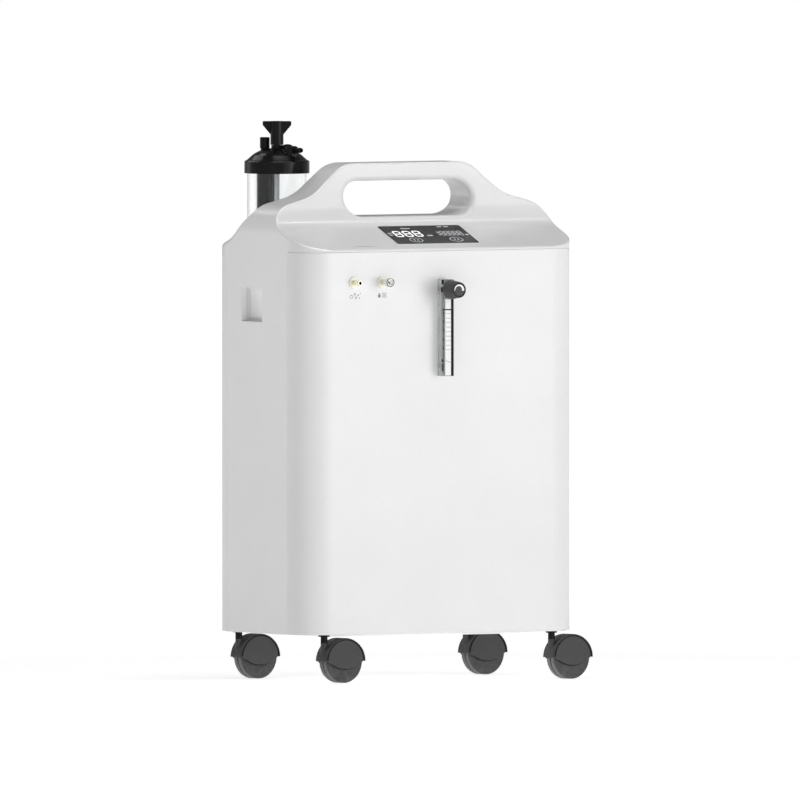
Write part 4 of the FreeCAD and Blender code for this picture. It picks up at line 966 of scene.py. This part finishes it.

# ------------------------------------------------------------------ finger recess: painted light, a pale skin on its walls whiter than the shell
skin = Bag()
RY0, RY1, RZ0, RZ1 = -12.0, 33.5, 413.5, 453.5
XB = -HW + 10.0
skin.prism([(RY0 + 4.2, RZ0 + 4.2), (RY1 - 4.2, RZ0 + 4.2), (RY1 - 4.2, RZ1 - 4.2), (RY0 + 4.2, RZ1 - 4.2)], lambda y, z, h: P(XB - h, y, z), 0.02, 0.12)
for y0, sgn in ((RY1, -1), (RY0, 1)):
    skin.prism([(-HW + 0.8, RZ0 + 0.3), (XB - 4.2, RZ0 + 0.3), (XB - 4.2, RZ1 - 0.3), (-HW + 0.8, RZ1 - 0.3)][::-sgn],
               lambda x, z, h, y0=y0, sgn=sgn: P(x, y0 + sgn * h, z), 0.02, 0.12)
for z0, sgn in ((RZ0, 1), (RZ1, -1)):
    skin.prism([(-HW + 0.8, RY0 + 0.3), (XB - 4.2, RY0 + 0.3), (XB - 4.2, RY1 - 0.3), (-HW + 0.8, RY1 - 0.3)][::sgn],
               lambda x, y, h, z0=z0, sgn=sgn: P(x, y, z0 + sgn * h), 0.02, 0.12)
finish_piece(skin.make("finger_recess_painted_light"), "bright", "cabinet", "shell_white")
# ------------------------------------------------------------------ lid: satin face on the outlet's block
blk = Bag()
TH = math.radians(-30.5)


def on_block(a, z, h):
    b = -21.5 - h
    return P(-118.2 + a * math.cos(TH) - b * math.sin(TH), 67.0 + a * math.sin(TH) + b * math.cos(TH), z)


blk.prism(round_rect(8.5, 597.6, 22.3, 606.4, 0.5, 3), on_block, 0.01, 0.08)
finish_piece(blk.make("lid_block_face"), "block_face", "lid", "lid_black")

# ------------------------------------------------------------------ casters: dark rims of painted shade, painted shadow line under the cheek, tyre bands of painted light
CAST_X, CAST_Y, TRAIL, WR = 151.7, 96.6, 23.5, 25.0
HEAD = math.radians(5.2)


def caster_space(sx, sy):
    def f(x, z, y):
        """x along the heading, z up, y across, all about the swivel axis."""
        return P(sx * CAST_X + x * math.cos(HEAD) - y * math.sin(HEAD), sy * CAST_Y + x * math.sin(HEAD) + y * math.cos(HEAD), z)
    return f


for tag, sx, sy in (("fl", -1, -1), ("fr", 1, -1), ("rl", -1, 1), ("rr", 1, 1)):
    f = caster_space(sx, sy)
    rim_b, line_b, tyre_b = Bag(), Bag(), Bag()
    for side_y in (-1, 1):
        h0, h1 = (10.32, 10.46)
        tf = (lambda x, z, h, f=f, k=side_y: f(x, z, k * h))
        # painted shade: a black ring round the hood's edge
        outer, inner = [], []
        for i in range(49):
            a = math.radians(2 + 176.0 * i / 48)
            outer.append((TRAIL + 26.9 * math.cos(a), WR + 25.1 * math.sin(a)))
            inner.append((TRAIL + 24.6 * math.cos(a), WR + 24.0 * math.sin(a)))
        rim_b.strip(outer, inner, tf, h0, h1)
        # painted shadow: a black line along the lower edge of the cheek
        o2, i2 = [], []
        for k in range(33):
            x = TRAIL - 20.6 + 34.0 * k / 32
            z = 51.1 - math.sqrt(36.0 ** 2 - (x - TRAIL + 0.5) ** 2)
            w = 0.95 * (1.0 - 0.75 * (k / 32.0) ** 2)
            o2.append((x, z + 0.12 + w))
            i2.append((x, z + 0.12))
        line_b.strip(o2, i2, tf, h0, h1)
    finish_piece(rim_b.make("caster_%s_rim" % tag), "ink_black", "caster_" + tag, "caster_grey")
    finish_piece(line_b.make("caster_%s_cheek_line" % tag), "ink_black", "caster_" + tag, "caster_grey")
    # tread bands: a lighter grey than the wheel, painted light
    for y0, y1 in ((-6.9, -0.8), (0.8, 6.9)):
        n = 96
        vs, fs = [], []
        for i in range(n):
            a = 2 * math.pi * i / n
            for r, y in ((24.9, y0), (25.03, y0 + 0.2), (25.03, y1 - 0.2), (24.9, y1)):
                vs.append(f(TRAIL + r * math.cos(a), WR + r * math.sin(a), y))
        for i in range(n):
            j = (i + 1) % n
            for k in range(4):
                l = (k + 1) % 4
                fs.append((i * 4 + k, j * 4 + k, j * 4 + l, i * 4 + l))
        tyre_b.add(vs, fs)
    finish_piece(tyre_b.make("wheel_%s_tyre_bands" % tag), "tyre", "wheel_" + tag, "wheel_grey")

# ------------------------------------------------------------------ rocker symbols
rk = Bag()


def on_rocker(sign):
    """Plane of one sloped half of the rocker, tilted as it rests."""
    tilt = math.radians(8.0)
    y0, z0 = 0.5, 0.0
    y1, z1 = 1.6, 7.3 * sign
    py = -3.0
    L = math.hypot(y1 - y0, z1 - z0)
    ty, tz = (y1 - y0) / L, (z1 - z0) / L
    ny, nz = abs(tz), -ty * (1 if tz > 0 else -1)

    def f(x, s, h):
        y = y0 + ty * s + ny * h
        z = z0 + tz * s + nz * h
        yy = py + (y - py) * math.cos(tilt) - z * math.sin(tilt)
        zz = (y - py) * math.sin(tilt) + z * math.cos(tilt)
        return P(66.0 + x, HD - 1.0 + yy, 120.0 + zz)
    return f


rk.prism(round_rect(-0.35, 2.3, 0.35, 5.6, 0.2, 2), on_rocker(1), 0.0, 0.1)
rk.ringprism(ellipse(0, 3.9, 1.6, 1.6, 24), ellipse(0, 3.9, 1.05, 1.05, 24), on_rocker(-1), 0.0, 0.1)
finish_piece(rk.make("rocker_symbols"), "ink_white", "rocker", "panel_white")

# ------------------------------------------------------------------ stage: floor, light, camera
me = bpy.data.meshes.new("floor")
me.from_pydata([(-14, -14, 0), (14, -14, 0), (14, 14, 0), (-14, 14, 0)], [], [(0, 1, 2, 3)])
floor = link(bpy.data.objects.new("floor", me))
fm = Mat("pale_floor")
fm.color(fm.ramp(fm.noise(3.0, 2.0), [(0.3, (0.895, 0.895, 0.895)), (0.7, (0.905, 0.905, 0.905))]))
socket(fm.b, "Roughness", 0.32)
socket(fm.b, "Specular IOR Level", 0.25)
socket(fm.b, "Emission Color", (1, 1, 1, 1))
# painted light: the floor glows, weaker within 0.9 m of its middle around the cabinet and rising out to 3 m
g = fm.node("ShaderNodeVectorMath")
g.operation = "LENGTH"
fm.link(fm.tc.outputs["Object"], g.inputs[0])
fm.link(fm.remap(g.outputs["Value"], 0.9, 3.0, 0.615, 1.06), fm.b.inputs["Emission Strength"])
me.materials.append(fm.m)

scene = bpy.context.scene
world = bpy.data.worlds.new("studio")
scene.world = world
world.use_nodes = True
nt = world.node_tree
nt.nodes.clear()
wo = nt.nodes.new("ShaderNodeOutputWorld")
lp = nt.nodes.new("ShaderNodeLightPath")
mx = nt.nodes.new("ShaderNodeMixShader")
b0 = nt.nodes.new("ShaderNodeBackground")
b1 = nt.nodes.new("ShaderNodeBackground")
b0.inputs["Color"].default_value = (1, 1, 1, 1)
b0.inputs["Strength"].default_value = 0.155
b1.inputs["Color"].default_value = (1, 1, 1, 1)
b1.inputs["Strength"].default_value = 1.0
mxm = nt.nodes.new("ShaderNodeMath")
mxm.operation = "MAXIMUM"
nt.links.new(lp.outputs["Is Camera Ray"], mxm.inputs[0])
nt.links.new(lp.outputs["Is Transmission Ray"], mxm.inputs[1])
nt.links.new(mxm.outputs[0], mx.inputs[0])
nt.links.new(b0.outputs[0], mx.inputs[1])
nt.links.new(b1.outputs[0], mx.inputs[2])
nt.links.new(mx.outputs[0], wo.inputs[0])


def area(name, az, el, dist, size, power, target=(0.0, 0.0, 0.33)):
    """Soft light. az 0 is in front of the object, positive to its right; el above the horizon."""
    d = bpy.data.lights.new(name, "AREA")
    d.shape = "RECTANGLE"
    d.size, d.size_y = size
    d.energy = power
    o = link(bpy.data.objects.new(name, d))
    a, e = math.radians(az), math.radians(el)
    t = Vector(target)
    o.location = t + Vector((math.sin(a) * math.cos(e), -math.cos(a) * math.cos(e), math.sin(e))) * dist
    o.rotation_euler = (t - o.location).to_track_quat("-Z", "Y").to_euler()
    o.visible_camera = False
    return o


area("key_front_right", 26, 8, 2.6, (0.9, 1.9), 12.0)
area("key_wide_right", 24, 9, 2.6, (1.7, 1.9), 4.6)
area("key_wide_front", 10, 9, 2.6, (1.7, 1.9), 8.9)
area("fill_back_left", -148, 10, 2.6, (0.9, 1.8), 3.5)
area("high_back_left", -160, 45, 2.6, (1.2, 1.2), 8.8)
area("top_wide", 0, 80, 2.4, (1.6, 1.6), 7.6)
area("top_small", -30, 85, 2.4, (0.8, 0.8), 4.0)
# long narrow strip overhead: draws the bright line along the front edge of the hump
strip_l = area("top_strip", 0, 60, 2.4, (2.6, 0.10), 9.0)
strip_l.location = Vector((0.17, -0.46, 2.30))
strip_l.rotation_euler = (Vector((0.0, -0.03, 0.58)) - strip_l.location).to_track_quat("-Z", "Y").to_euler()

scene.view_settings.view_transform = "Standard"
scene.view_settings.look = "None"

cam_d = bpy.data.cameras.new("camera")
cam_d.type = "ORTHO"
cam_d.ortho_scale = 0.92
cam_d.clip_end = 30.0
cam = link(bpy.data.objects.new("camera", cam_d))
AZ, EL = math.radians(30.5), math.asin(0.0309)
look = Vector((math.sin(AZ) * math.cos(EL), math.cos(AZ) * math.cos(EL), -math.sin(EL)))
aim = P(4.855, -2.860, 320.8)
cam.location = aim - look * 6.0
cam.rotation_euler = look.to_track_quat("-Z", "Y").to_euler()
scene.camera = cam
